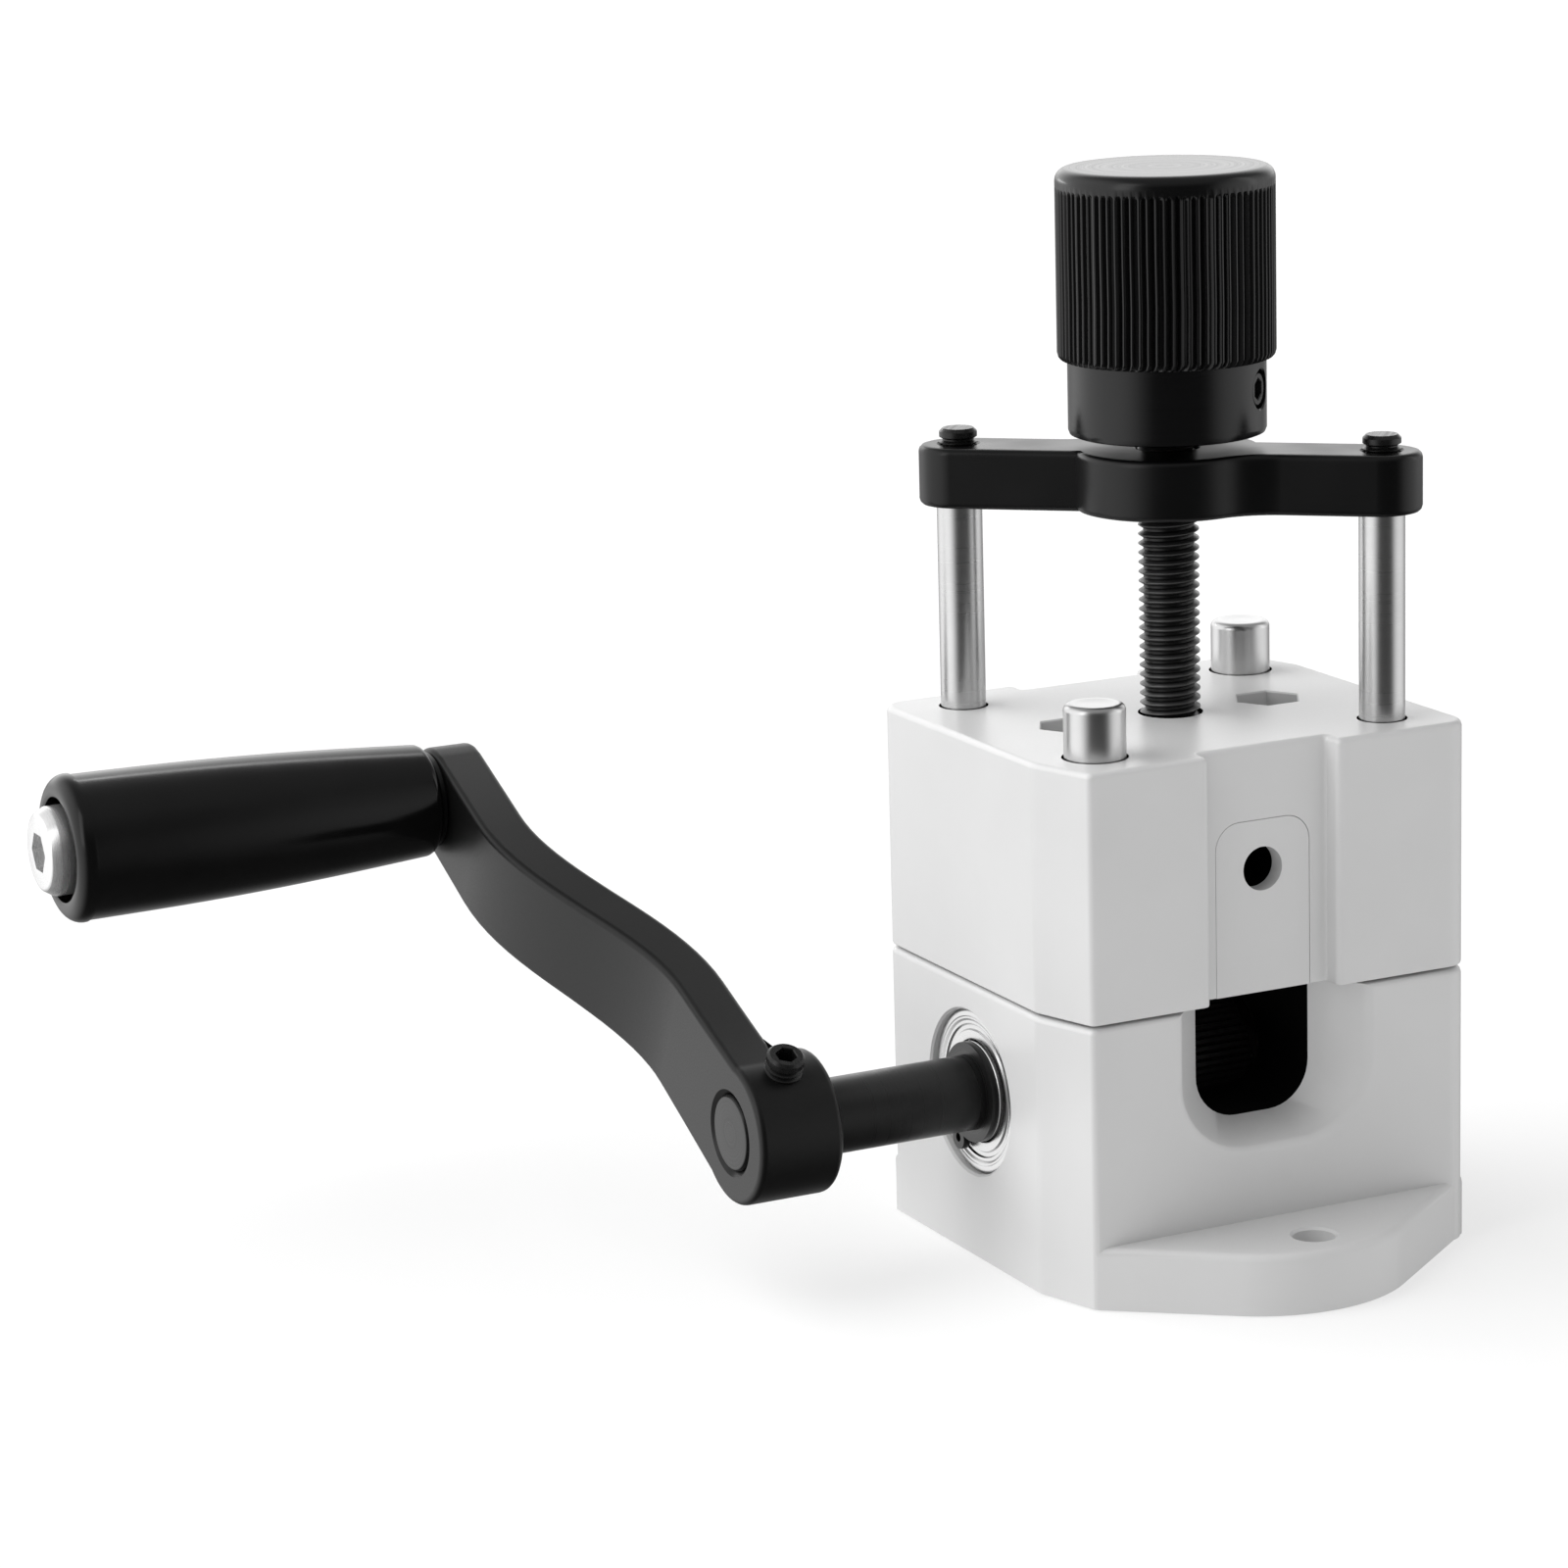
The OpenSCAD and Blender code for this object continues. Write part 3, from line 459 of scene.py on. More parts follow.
def zincPlated(centre):
    # bright zinc plating on a turned screw head: pale, slightly clouded, fine rings
    material, tree, place = newFinish("brightZincPlate")
    lathe = lathePlace(tree, place, centre, (1, 0, 0))
    lines = addNode(tree, "TexNoise", {"Scale": 1 / (0.35 * mm), "Detail": 2.0},
                    {"Vector": lathe}).outputs[0]
    cloud = addNode(tree, "TexNoise", {"Scale": 1 / (2.5 * mm), "Detail": 3.0},
                    {"Vector": place}).outputs[0]
    shade = twoShades(tree, cloud, "#dcdcdc", "#f2f2f2")
    gloss = spread(tree, lines, 0.22, 0.34)
    bump = addNode(tree, "Bump", {"Strength": 0.15, "Distance": 0.01 * mm}, {"Height": lines}).outputs[0]
    surface(tree, {"Metallic": 0.9}, {"Base Color": shade, "Roughness": gloss, "Normal": bump})
    return material


def plainSteel(name="plainSteel", dark="#8c8c8c", light="#b4b4b4", rough=(0.28, 0.42)):
    # bright drawn steel as it comes: washers, nuts, spacers and the blade
    material, tree, place = newFinish(name)
    cloud = addNode(tree, "TexNoise", {"Scale": 1 / (1.6 * mm), "Detail": 4.0},
                    {"Vector": place}).outputs[0]
    shade = twoShades(tree, cloud, dark, light)
    gloss = spread(tree, cloud, rough[0], rough[1])
    surface(tree, {"Metallic": 1.0}, {"Base Color": shade, "Roughness": gloss})
    return material


shaftAt = sum(boxOf("drive_shaft"), Vector()) / 2
plastic = moulded()
# painted shade for the insides of the slots, the chamber and the bores
paintedShadeBlack = makePaintedShade()
bridgeBlack = anodised()
knobBlack = anodisedTurned()
crankBlack = paintedCrank()
shaftBlack = oxideSteel("blackOxideShaft", shaftAt, (1, 0, 0))
screwBlack = oxideSteel("blackOxideScrews", (0, 0, 0), (0, 0, 1), rough=(0.22, 0.36))
rollerBlack = oxideSteel("blackOxideRoller", shaftAt, (1, 0, 0), "#070707", "#101010", (0.45, 0.6))
threadGrey = rolledThread()
gripBlack = glossyGrip()
ringSteel = bearingSteel(shaftAt)
drawnSteel = plainSteel()
bladeSteel = plainSteel("groundToolSteel", "#a8a8a8", "#c6c6c6", (0.16, 0.26))
print("finishes made")


# ---- blocks ----

blockShape = {"facetWide": 3, "facetLong": 9.4, "corner": 3.5, "facetEdge": 0.7,
              "channelWide": 19, "channelDeep": 3, "channelEdge": 0.9, "rim": 0.8}


def bodyBlock(name, low, high):
    # the shared plan of both blocks: two long facets and two round corners
    s = blockShape
    piece = block(name, low, high)
    for side, corner in ((-1, low), (1, high)):
        sliceOff(piece, (corner.x, corner.y - side * s["facetLong"], 0),
                 (side * s["facetLong"], side * s["facetWide"], 0))
    roundEdges(piece, s["corner"], 8, lambda a, b: abs(a.z - b.z) > 5 and a.x * a.y < -500)
    roundEdges(piece, s["facetEdge"], 4, lambda a, b: abs(a.z - b.z) > 5 and a.x * a.y > 400)
    return piece


headLow, headHigh = boxOf("upper_block")
headBlock = bodyBlock("upperBlock", headLow, headHigh)
half = blockShape["channelWide"] / 2
channelY = headHigh.y - blockShape["channelDeep"]
carve(headBlock, joined(block("cutFront", (-half, headLow.y - 2, headLow.z - 2),
                              (half, -channelY, headHigh.z + 2)),
                        block("cutBack", (-half, channelY, headLow.z - 2),
                              (half, headHigh.y + 2, headHigh.z + 2))))
roundEdges(headBlock, blockShape["channelEdge"], 4,
           lambda a, b: abs(a.z - b.z) > 5 and abs(abs(a.x) - half) < 0.1 and abs(a.y) > channelY + 1)
roundEdges(headBlock, 0.5, 3,
           lambda a, b: abs(a.z - b.z) > 5 and abs(abs(a.x) - half) < 0.1
           and abs(abs(a.y) - channelY) < 0.1)
roundEdges(headBlock, blockShape["rim"], 3, lambda a, b: min(a.z, b.z) > headHigh.z - 0.05)
roundEdges(headBlock, 0.25, 2, lambda a, b: max(a.z, b.z) < headLow.z + 0.05)

headHoles = {"gap": 0.25, "lip": 0.06, "pocketFlats": 8, "pocketDeep": 15}


def lippedHole(name, x, y, bottom, top, radius, lip, sides=64, turn=0.0):
    # a cutter whose top flares out, so that the hole gets a small chamfer
    cutter = bar(name, (x, y, bottom), (x, y, top - lip), radius, sides, turn)
    editPicked(cutter, "FACE", lambda c, n: n.z > 0.9)
    extrude((0, 0, (lip + 1) * mm))
    grow = (radius + lip + 1) / radius
    scaleAbout((x * mm, y * mm, (top + 1) * mm), grow, grow, 1)
    leaveEdit()
    return cutter


headBlock.data.materials.clear()
headBlock.data.materials.append(plastic)
cutters = []
# the pin bores take painted shade: black faces for the dark gap round each pin
for node in ("guide_rod_left", "guide_rod_right", "dowel_front", "dowel_back"):
    low, high = boxOf(node)
    cutters.append(lippedHole("cut", (low.x + high.x) / 2, (low.y + high.y) / 2, headLow.z - 1, headHigh.z,
                              (high.x - low.x) / 2 + headHoles["gap"], headHoles["lip"]))
    cutters[-1].data.materials.append(paintedShadeBlack)
nutMiddle = [sum(boxOf("carrier_nut_" + side), Vector()) / 2 for side in ("left", "right")]
for middle in nutMiddle:
    cutters.append(lippedHole("cut", middle.x, middle.y, headHigh.z - headHoles["pocketDeep"], headHigh.z,
                              headHoles["pocketFlats"] / 2 / cos(pi / 6), 0.2, 6, pi / 6))
    cutters[-1].data.materials.append(plastic)
# the lead screw's bore takes painted shade as well
cutters.append(lippedHole("cut", 0, 0, 60, headHigh.z, 4.25, headHoles["lip"]))
cutters[-1].data.materials.append(paintedShadeBlack)
carve(headBlock, joined(*cutters))

carrierShape = {"wide": 14, "corner": 3.5, "gap": 0.06, "plate": (40.8, 16, 4), "sight": 5.8,
                "sightUp": 16.4,
                "sightWall": 3, "bladeSlot": (5, 28)}


def carrierOutline(name, grow, y):
    s = carrierShape
    top = boxOf("blade_carrier")[1].z + grow
    w, r = s["wide"] / 2 + grow, s["corner"] + grow
    corner = arcOf((w - r, top - r), r, 0, 90, 8) + arcOf((r - w, top - r), r, 90, 180, 8)
    return drawn(name, [(x, y, z) for x,
                        z in [(w, headLow.z - grow * 8)] + corner + [(-w, headLow.z - grow * 8)]], True)


gap = carrierShape["gap"]
plateX, plateY, plateZ = carrierShape["plate"]
carve(headBlock, pulled(carrierOutline("cut", gap, channelY + 1), (0, -2 * channelY - 2, 0)))
carve(headBlock, block("cut", (-plateX / 2 - gap, -plateY / 2 - gap, headLow.z - 1),
                       (plateX / 2 + gap, plateY / 2 + gap, headLow.z + plateZ + gap)))
finish(headBlock, "head", ["upper_block"])

carrier = pulled(carrierOutline("bladeCarrier", 0, channelY), (0, -2 * channelY, 0))
roundEdges(carrier, 0.08, 2, lambda a,
           b: abs(abs(a.y) - channelY) < 0.05 and abs(abs(b.y) - channelY) < 0.05)
foot = block("carrierFoot", (-plateX / 2, -plateY / 2, headLow.z),
             (plateX / 2, plateY / 2, headLow.z + plateZ))
carve(carrier, foot, "UNION")
carrier.data.materials.clear()
carrier.data.materials.append(plastic)
sightZ = headLow.z + carrierShape["sightUp"]
front = -channelY + carrierShape["sightWall"]
# behind the sight hole and in the blade slot: black faces as painted shade
deep = bar("cut", (0, front - 0.5, sightZ), (0, -11.5, sightZ), carrierShape["sight"] / 2 + 0.6, 48)
slotWide, slotLong = carrierShape["bladeSlot"]
bladeSlot = block("cut", (-slotWide / 2, shaftAt.y - slotLong / 2, headLow.z - 1),
                  (slotWide / 2, shaftAt.y + slotLong / 2, headLow.z + 26))
for cutter in (deep, bladeSlot):
    cutter.data.materials.append(paintedShadeBlack)
    carve(carrier, cutter)
sight = bar("cut", (0, -channelY - 1, sightZ), (0, front, sightZ), carrierShape["sight"] / 2, 48)
sight.data.materials.append(plastic)
carve(carrier, sight)
for middle in nutMiddle:
    hole = bar("cut", (middle.x, 0, headLow.z + plateZ + 1), (middle.x, 0, headLow.z + 2.4), 2.65, 32)
    editPicked(hole, "FACE", lambda c, n: n.z < -0.9)
    extrude((0, 0, -2.5 * mm))
    scaleAbout((middle.x * mm, 0, 0), 5.2 / 2.65, 5.2 / 2.65, 1)
    leaveEdit()
    carve(carrier, hole)
finish(carrier, "head", ["blade_carrier"])

baseShape = {"rim": 0.9, "flangeRadius": 20.3, "flangeTall": 8.2, "flangeRim": 1.1, "holeOut": 9,
             "hole": 5.5,
             "slotWide": 17, "slotFloor": 20.7, "slotRound": 6, "mouthWide": 28.4, "mouthFloor": 17.8,
             "mouthRound": 10, "mouthDeep": 6, "seat": 22, "seatDeep": 6.8, "chamber": 20.4}
baseLow, baseHigh = boxOf("lower_block")
bodyLow = Vector((baseLow.x, headLow.y, 0))
bodyHigh = Vector((baseHigh.x, headHigh.y, baseHigh.z))
baseBlock = bodyBlock("lowerBlock", bodyLow, bodyHigh)


def slotOutline(name, wide, floor, radius, y, top):
    # a trough: open top, two round lower corners
    w = wide / 2
    left = arcOf((radius - w, floor + radius), radius, 180, 270, 10)
    right = arcOf((w - radius, floor + radius), radius, 270, 360, 10)
    return drawn(name, [(x, y, z) for x, z in [(-w, top)] + left + right + [(w, top)]], True)


s = baseShape
# the wire slot's walls and floor take painted shade: black faces where shade falls inside
slotCut = pulled(slotOutline("cut", s["slotWide"], s["slotFloor"], s["slotRound"], bodyHigh.y + 1,
                             bodyHigh.z + 2),
                 (0, -2 * bodyHigh.y - 2, 0))
slotCut.data.materials.append(paintedShadeBlack)
baseBlock.data.materials.append(plastic)
carve(baseBlock, slotCut)
for side in (-1, 1):
    outer = slotOutline("cut", s["mouthWide"], s["mouthFloor"], s["mouthRound"], side * bodyHigh.y,
                        bodyHigh.z + 2)
    lip = slotOutline("lip", s["mouthWide"] + 0.4, s["mouthFloor"] - 0.2, s["mouthRound"] + 0.2,
                      side * (bodyHigh.y + 0.2), bodyHigh.z + 2)
    inner = slotOutline("inner", s["slotWide"], s["slotFloor"], s["slotRound"],
                        side * (bodyHigh.y - s["mouthDeep"]), bodyHigh.z + 2)
    funnel = joined(lip, outer, inner)
    bpy.ops.object.mode_set(mode="EDIT")
    bpy.ops.mesh.select_mode(type="FACE")
    bpy.ops.mesh.select_all(action="SELECT")
    bpy.ops.mesh.delete(type="ONLY_FACE")
    bpy.ops.mesh.select_mode(type="EDGE")
    bpy.ops.mesh.select_all(action="SELECT")
    bpy.ops.mesh.bridge_edge_loops()
    bpy.ops.mesh.select_all(action="DESELECT")
    bpy.ops.mesh.select_non_manifold()
    bpy.ops.mesh.edge_face_add()
    leaveEdit()
    for y in (side * (bodyHigh.y + 0.2), side * (bodyHigh.y - s["mouthDeep"])):
        editPicked(funnel, "EDGE", lambda a, b: abs(a.y - y) < 0.01 and abs(b.y - y) < 0.01)
        bpy.ops.mesh.edge_face_add()
        leaveEdit()
    alone(funnel)
    editAll()
    bpy.ops.mesh.normals_make_consistent(inside=False)
    leaveEdit()
    funnel.data.materials.append(plastic)
    carve(baseBlock, funnel)


def onRim(a, b):
    top = min(a.z, b.z) > bodyHigh.z - 0.05
    outside = max(abs(a.y), abs(b.y)) > 25.9 or max(abs(a.x), abs(b.x)) > 20
    mouthLine = (abs(abs(a.y) - bodyHigh.y) < 0.02 and abs(abs(b.y) - bodyHigh.y) < 0.02
                 and max(abs(a.x), abs(b.x)) < 14.4 and max(a.z, b.z) > 17)
    return (top and outside and not (min(abs(a.y), abs(b.y)) < 25
                                     and max(abs(a.x), abs(b.x)) < 15)) or mouthLine


roundEdges(baseBlock, s["rim"], 3, onRim)
print("blocks shaped")

for side in (-1, 1):
    # flange: a round end and the body's two corners, wrapped by one hull
    flangeY = side * (baseHigh.y - s["flangeRadius"])
    flange = bar("flange", (0, flangeY, 0), (0, flangeY, s["flangeTall"]), s["flangeRadius"], 128)
    corners = [(-29.99, 24), (26.85, 25.9), (26.85, 0), (-29.99, 0)]
    wedge = pulled(drawn("wedge", [(side * x, side * y, 0) for x, y in corners], True),
                   (0, 0, s["flangeTall"]))
    joined(flange, wedge)
    editAll()
    bpy.ops.mesh.convex_hull()
    bpy.ops.mesh.select_all(action="SELECT")
    bpy.ops.mesh.dissolve_limited(angle_limit=radians(0.5))
    leaveEdit()
    roundEdges(flange, s["flangeRim"], 3,
               lambda a, b: min(a.z, b.z) > s["flangeTall"] - 0.05 and side * (a.y + b.y) > 42)
    flange.data.materials.append(plastic)
    carve(baseBlock, flange, "UNION")
    hole = lippedHole("cut", 0, side * (bodyHigh.y + s["holeOut"]), -1, s["flangeTall"], s["hole"] / 2,
                      0.35)
    hole.data.materials.append(plastic)
    carve(baseBlock, hole)

# the roller chamber takes painted shade too
chamber = bar("cut", (-40, shaftAt.y, shaftAt.z), (40, shaftAt.y, shaftAt.z), s["chamber"] / 2, 64)
chamber.data.materials.append(paintedShadeBlack)
carve(baseBlock, chamber)
for side in (-1, 1):
    seat = bar("cut", (side * (bodyHigh.x - s["seatDeep"]), shaftAt.y, shaftAt.z),
               (side * (bodyHigh.x - 0.3), shaftAt.y, shaftAt.z), s["seat"] / 2 + 0.05, 96)
    editPicked(seat, "FACE", lambda c, n: side * n.x > 0.9)
    extrude((side * 1.3 * mm, 0, 0))
    grow = (s["seat"] / 2 + 1.35) / (s["seat"] / 2 + 0.05)
    scaleAbout(shaftAt * mm, 1, grow, grow)
    leaveEdit()
    seat.data.materials.append(plastic)
    carve(baseBlock, seat)
finish(baseBlock, "base", ["lower_block"])
print("blocks done")


# ---- guides, studs and bridge ----

def pinAlong(name, node, edge, bottom, top, domed):
    low, high = boxOf(node)
    r = (high.x - low.x) / 2 if node.startswith("dowel") else 3.0
    centre = Vector(((low.x + high.x) / 2, (low.y + high.y) / 2, 0))
    rounded = arcOf((r - edge, top - edge), edge, 0, 90, 6)
    inside = [(r - edge - 0.5, top), (r - edge - 1.3, top - domed), (0, top - domed)]
    return turned(name, [(0, bottom), (r, bottom)] + rounded + inside, centre, (0, 0, 1), 64), centre


bridgeLow, bridgeHigh = boxOf("bridge")
studShape = {"across": 5, "pitch": 0.8, "proud": 2.1}


def standAt(piece, foot, way, sunk=0.0):
    # stands a piece made upright on its foot, along the way given
    alone(piece)
    upright = Vector(way).to_track_quat("Z", "Y").to_matrix().to_4x4()
    piece.matrix_world = (Matrix.Translation(Vector(foot) * mm) @ upright
                          @ Matrix.Translation((0, 0, -sunk * mm)))
    bpy.ops.object.transform_apply(location=True, rotation=True, scale=True)
    return piece


def threadedBar(name, foot, way, across, pitch, long, sides):
    # one pitch of thread wound up a screw line and cut square at both ends
    r, deep = across / 2, 0.54 * pitch
    outline = [(r - deep, 0), (r - deep, 0.12), (r - 0.03, 0.44), (r, 0.5), (r - 0.03, 0.56),
               (r - deep, 0.88), (r - deep, 1)]
    piece = drawn(name, [(x, 0, z * pitch if z else 0) for x, z in outline])
    alone(piece)
    bpy.ops.object.modifier_add(type="SCREW")
    wind = piece.modifiers[-1]
    wind.screw_offset = pitch * mm
    wind.iterations = int(long / pitch) + 3
    wind.steps = sides
    wind.render_steps = sides
    wind.use_merge_vertices = True
    wind.merge_threshold = 0.01 * mm
    bpy.ops.object.modifier_apply(modifier=wind.name)
    editPicked(piece, "VERT", lambda p: True)
    bpy.ops.mesh.remove_doubles(threshold=0.005 * mm)
    bpy.ops.mesh.normals_make_consistent(inside=False)
    leaveEdit()
    bottom = pitch * 1.013  # both cuts miss the thread's own points
    sliceOff(piece, (0, 0, bottom), (0, 0, -1))
    sliceOff(piece, (0, 0, bottom + long), (0, 0, 1))
    return standAt(piece, foot, way, bottom)


def ringedBar(name, foot, way, across, pitch, long, socket=0.0, lead=0.45, sides=48):
    # a short thread drawn as rings of its real pitch, too small to tell from a wound one
    r, deep = across / 2, 0.54 * pitch
    profile = [(0, 0), (r - deep, 0)]
    rings = int((long - lead) / pitch - 0.5)
    for i in range(rings):
        profile += [(r - deep, (i + 0.1) * pitch), (r, (i + 0.44) * pitch), (r, (i + 0.56) * pitch),
                    (r - deep, (i + 0.9) * pitch)]
    profile += [(r - deep, (rings + 0.1) * pitch), (r, (rings + 0.44) * pitch), (r, long - lead),
                (r - lead, long), (0, long)]
    piece = turned(name, profile, (0, 0, 0), (0, 0, 1), sides)
    if socket:
        hexagon = lippedHole("cut", 0, 0, long - socket * 0.9, long, socket / 2 / cos(pi / 6), 0.12, 6)
        carve(piece, hexagon)
    return standAt(piece, foot, way)


pinEdge = {"rod": 0.3, "dowel": 0.9}
for side in ("left", "right"):
    node = "guide_rod_" + side
    rodPiece, centre = pinAlong("guideRod" + side.capitalize(), node, pinEdge["rod"], boxOf(node)[0].z,
                                bridgeLow.z + 2, 0)
    finish(rodPiece, "base", [node],
           [groundSteel("groundSteelRod" + side.capitalize(), centre)])
    stud = ringedBar("rodStud" + side.capitalize(), (centre.x, centre.y, bridgeLow.z + 3), (0, 0, 1),
                       studShape["across"], studShape["pitch"],
                     bridgeHigh.z - bridgeLow.z - 3 + studShape["proud"])
    finish(stud, "base", [], [screwBlack], 40)
for side in ("front", "back"):
    node = "dowel_" + side
    low, high = boxOf(node)
    dowelPiece, centre = pinAlong("dowel" + side.capitalize(), node, pinEdge["dowel"], low.z, high.z, 0.12)
    finish(dowelPiece, "base", [node],
           [groundSteel("groundSteelDowel" + side.capitalize(), centre)])

bridgeShape = {"armWide": 10.5, "boss": 24.6, "blend": 9.0, "edge": 0.9}


def bridgeOutline():
    # points along the bridge and across it
    # one side of the boss is a sharp step, the other a long blend
    s = bridgeShape
    low, high = boxOf("guide_rod_right")
    reach = hypot((low.x + high.x) / 2, (low.y + high.y) / 2)
    arm, boss, blend = s["armWide"] / 2, s["boss"] / 2, s["blend"]
    step = degrees(asin(arm / boss))
    over = sqrt((boss + blend) ** 2 - (arm + blend) ** 2)  # where the blend's centre stands along the bridge
    meet = degrees(atan2(arm + blend, over))
    halfWay = arcOf((0, 0), boss, 180 + step, 360 - meet, 24)
    halfWay += arcOf((over, -arm - blend), blend, 180 - meet, 90, 8)[1:]
    halfWay += arcOf((reach, 0), arm, -90, 90, 20)
    return halfWay + [(-x, -y) for x, y in halfWay]


low, high = boxOf("guide_rod_right")
bridgeTurn = atan2((low.y + high.y) / 2, (low.x + high.x) / 2)
outline = [(x * cos(bridgeTurn) - y * sin(bridgeTurn), x * sin(bridgeTurn) + y * cos(bridgeTurn),
            bridgeLow.z)
           for x, y in bridgeOutline()]
bridge = pulled(drawn("bridge", outline, True), (0, 0, bridgeHigh.z - bridgeLow.z))
roundEdges(bridge, bridgeShape["edge"], 3, lambda a, b: abs(a.z - b.z) < 0.1)
holes = [lippedHole("cut", x, y, bridgeLow.z - 1, bridgeHigh.z, r, 0.3)
         for x, y, r in ((0, 0, 4.2), (21, -18.5, 2.6), (-21, 18.5, 2.6))]
carve(bridge, joined(*holes))
finish(bridge, "base", ["bridge"], [bridgeBlack])
print("guides and bridge done")


# ---- lead screw and knob ----

screwLow, screwHigh = boxOf("lead_screw")
leadShape = {"across": 8, "pitch": 1.25, "threadFrom": headHigh.z - 2.9}
lead = threadedBar("leadScrew", (0, 0, leadShape["threadFrom"]), (0, 0, 1), leadShape["across"],
                   leadShape["pitch"],
                   screwHigh.z - leadShape["threadFrom"], 40)
plainFoot = turned("plainFoot",
                   [(0, screwLow.z), (2.6, screwLow.z), (3, screwLow.z + 0.4), (3, screwLow.z + 1),
                                 (2.5, screwLow.z + 1), (2.5, screwLow.z + 2), (3, screwLow.z + 2),
                                 (3, leadShape["threadFrom"] + 1), (0, leadShape["threadFrom"] + 1)],
                   (0, 0, 0), (0, 0, 1), 40)
finish(joined(lead, plainFoot), "screw", ["lead_screw"], [threadGrey], 40, False)

knobLow, knobHigh = boxOf("knob")
knobShape = {"collar": 12.9, "collarTall": 9.8, "grip": 14.2, "shoulder": 1.6, "grooves": 82,
             "perGroove": 6,
             "deep": 0.5, "knurlTop": 2.5, "screwUp": 6.1, "screwTurn": -51, "screw": 5}
k = knobShape
tall = knobHigh.z - knobLow.z
gripFrom = k["collarTall"]
knurlEnd = tall - k["knurlTop"]
profile = [(0, 0), (k["collar"] - 0.7, 0), (k["collar"] - 0.2, 0.2), (k["collar"], 0.7), (k["collar"], 1.0),
           (k["collar"], gripFrom - 0.3),
           (k["collar"], gripFrom),
           (13.35, gripFrom), (13.75, gripFrom + 0.12), (14.05, gripFrom + 0.45), (14.2, gripFrom + 1.0),
           (14.2, gripFrom + 3), (14.2, gripFrom + 8), (14.2, gripFrom + 15), (14.2, knurlEnd - 0.5),
           (14.2, knurlEnd - 0.15), (14.2, knurlEnd + 0.1)]
profile += arcOf((k["grip"] - k["shoulder"], tall - k["shoulder"]), k["shoulder"], 0, 90, 6)
profile += [(11.9, tall - 0.02), (0, tall - 0.02)]
knob = turned("knob", profile, (0, 0, knobLow.z), (0, 0, 1), k["grooves"] * k["perGroove"])


def groovePhase(p):
    turn = atan2(p.y, p.x) / (2 * pi) * k["grooves"] * k["perGroove"]
    return round(turn) % (k["grooves"] * k["perGroove"])


knurlRows = [(gripFrom - 0.05, gripFrom + 0.05, 0.45), (gripFrom + 0.05, gripFrom + 0.3, 0.8),
             (gripFrom + 0.3, knurlEnd - 0.3, 1.0), (knurlEnd - 0.3, knurlEnd, 0.6)]
for bottom, top, share in knurlRows:
    for away, shape in ((0, 1.0), (1, 0.62), (2, 0.14)):
        for kind, depth in enumerate((0.42, 0.5, 0.58)):
            editPicked(knob, "VERT", lambda p: bottom < p.z - knobLow.z < top and hypot(p.x, p.y) > 13.2
                       and groovePhase(p) % 6 in (away, (6 - away) % 6)
                       and (groovePhase(p) // 6 * 7) % 3 == kind)
            squeeze = 1 - depth * share * shape / k["grip"]
            scaleAbout((0, 0, 0), squeeze, squeeze, 1)
            leaveEdit()
for bottom, top, slant in ((gripFrom - 0.05, gripFrom + 0.05, 2.6), (gripFrom + 0.05, gripFrom + 0.3, 1.7),
                           (gripFrom + 0.3, gripFrom + 0.7, 0.8), (gripFrom + 7, gripFrom + 9, -0.25)):
    editPicked(knob, "VERT", lambda p: bottom < p.z - knobLow.z < top and hypot(p.x, p.y) > 12.95)
    bpy.ops.transform.rotate(value=radians(slant), orient_axis="Z", center_override=(0, 0, 0))
    leaveEdit()
knobScrewWay = Vector((cos(radians(k["screwTurn"])), sin(radians(k["screwTurn"])), 0))
screwMiddle = Vector((0, 0, knobLow.z + k["screwUp"]))
hole = bar("cut", screwMiddle + knobScrewWay * 6, screwMiddle + knobScrewWay * (k["collar"] - 0.25),
           k["screw"] / 2 + 0.05, 48)
editPicked(hole, "FACE", lambda c, n: n.dot(knobScrewWay) > 0.9)
extrude(knobScrewWay * 1.5 * mm)
scaleAbout((screwMiddle + knobScrewWay * (k["collar"] + 1.25)) * mm, 1.5, 1.5, 1.5)
leaveEdit()
carve(knob, hole)
finish(knob, "screw", ["knob"], [knobBlack], 28)
socketScrew = ringedBar("knobSetScrew", screwMiddle + knobScrewWay * 5, knobScrewWay, k["screw"], 0.8,
                          k["collar"] - 0.4 - 5, 2.5, 0.5)
finish(socketScrew, "screw", ["knob_set_screw"], [screwBlack], 40)
print("screw and knob done")


# ---- bearings, shaft and roller ----

ringShape = {"outer": 11, "outerBore": 9.45, "wide": 6, "edge": 0.45}


def sideways(name, profile, side, sides=96):
    # profile heights run inwards from the bearing's outer face
    faceX = boxOf("bearing_right_outer_ring")[1].x
    return turned(name, [(r, -h) for r, h in profile], (side * faceX, shaftAt.y, shaftAt.z), (side, 0, 0),
                  sides)


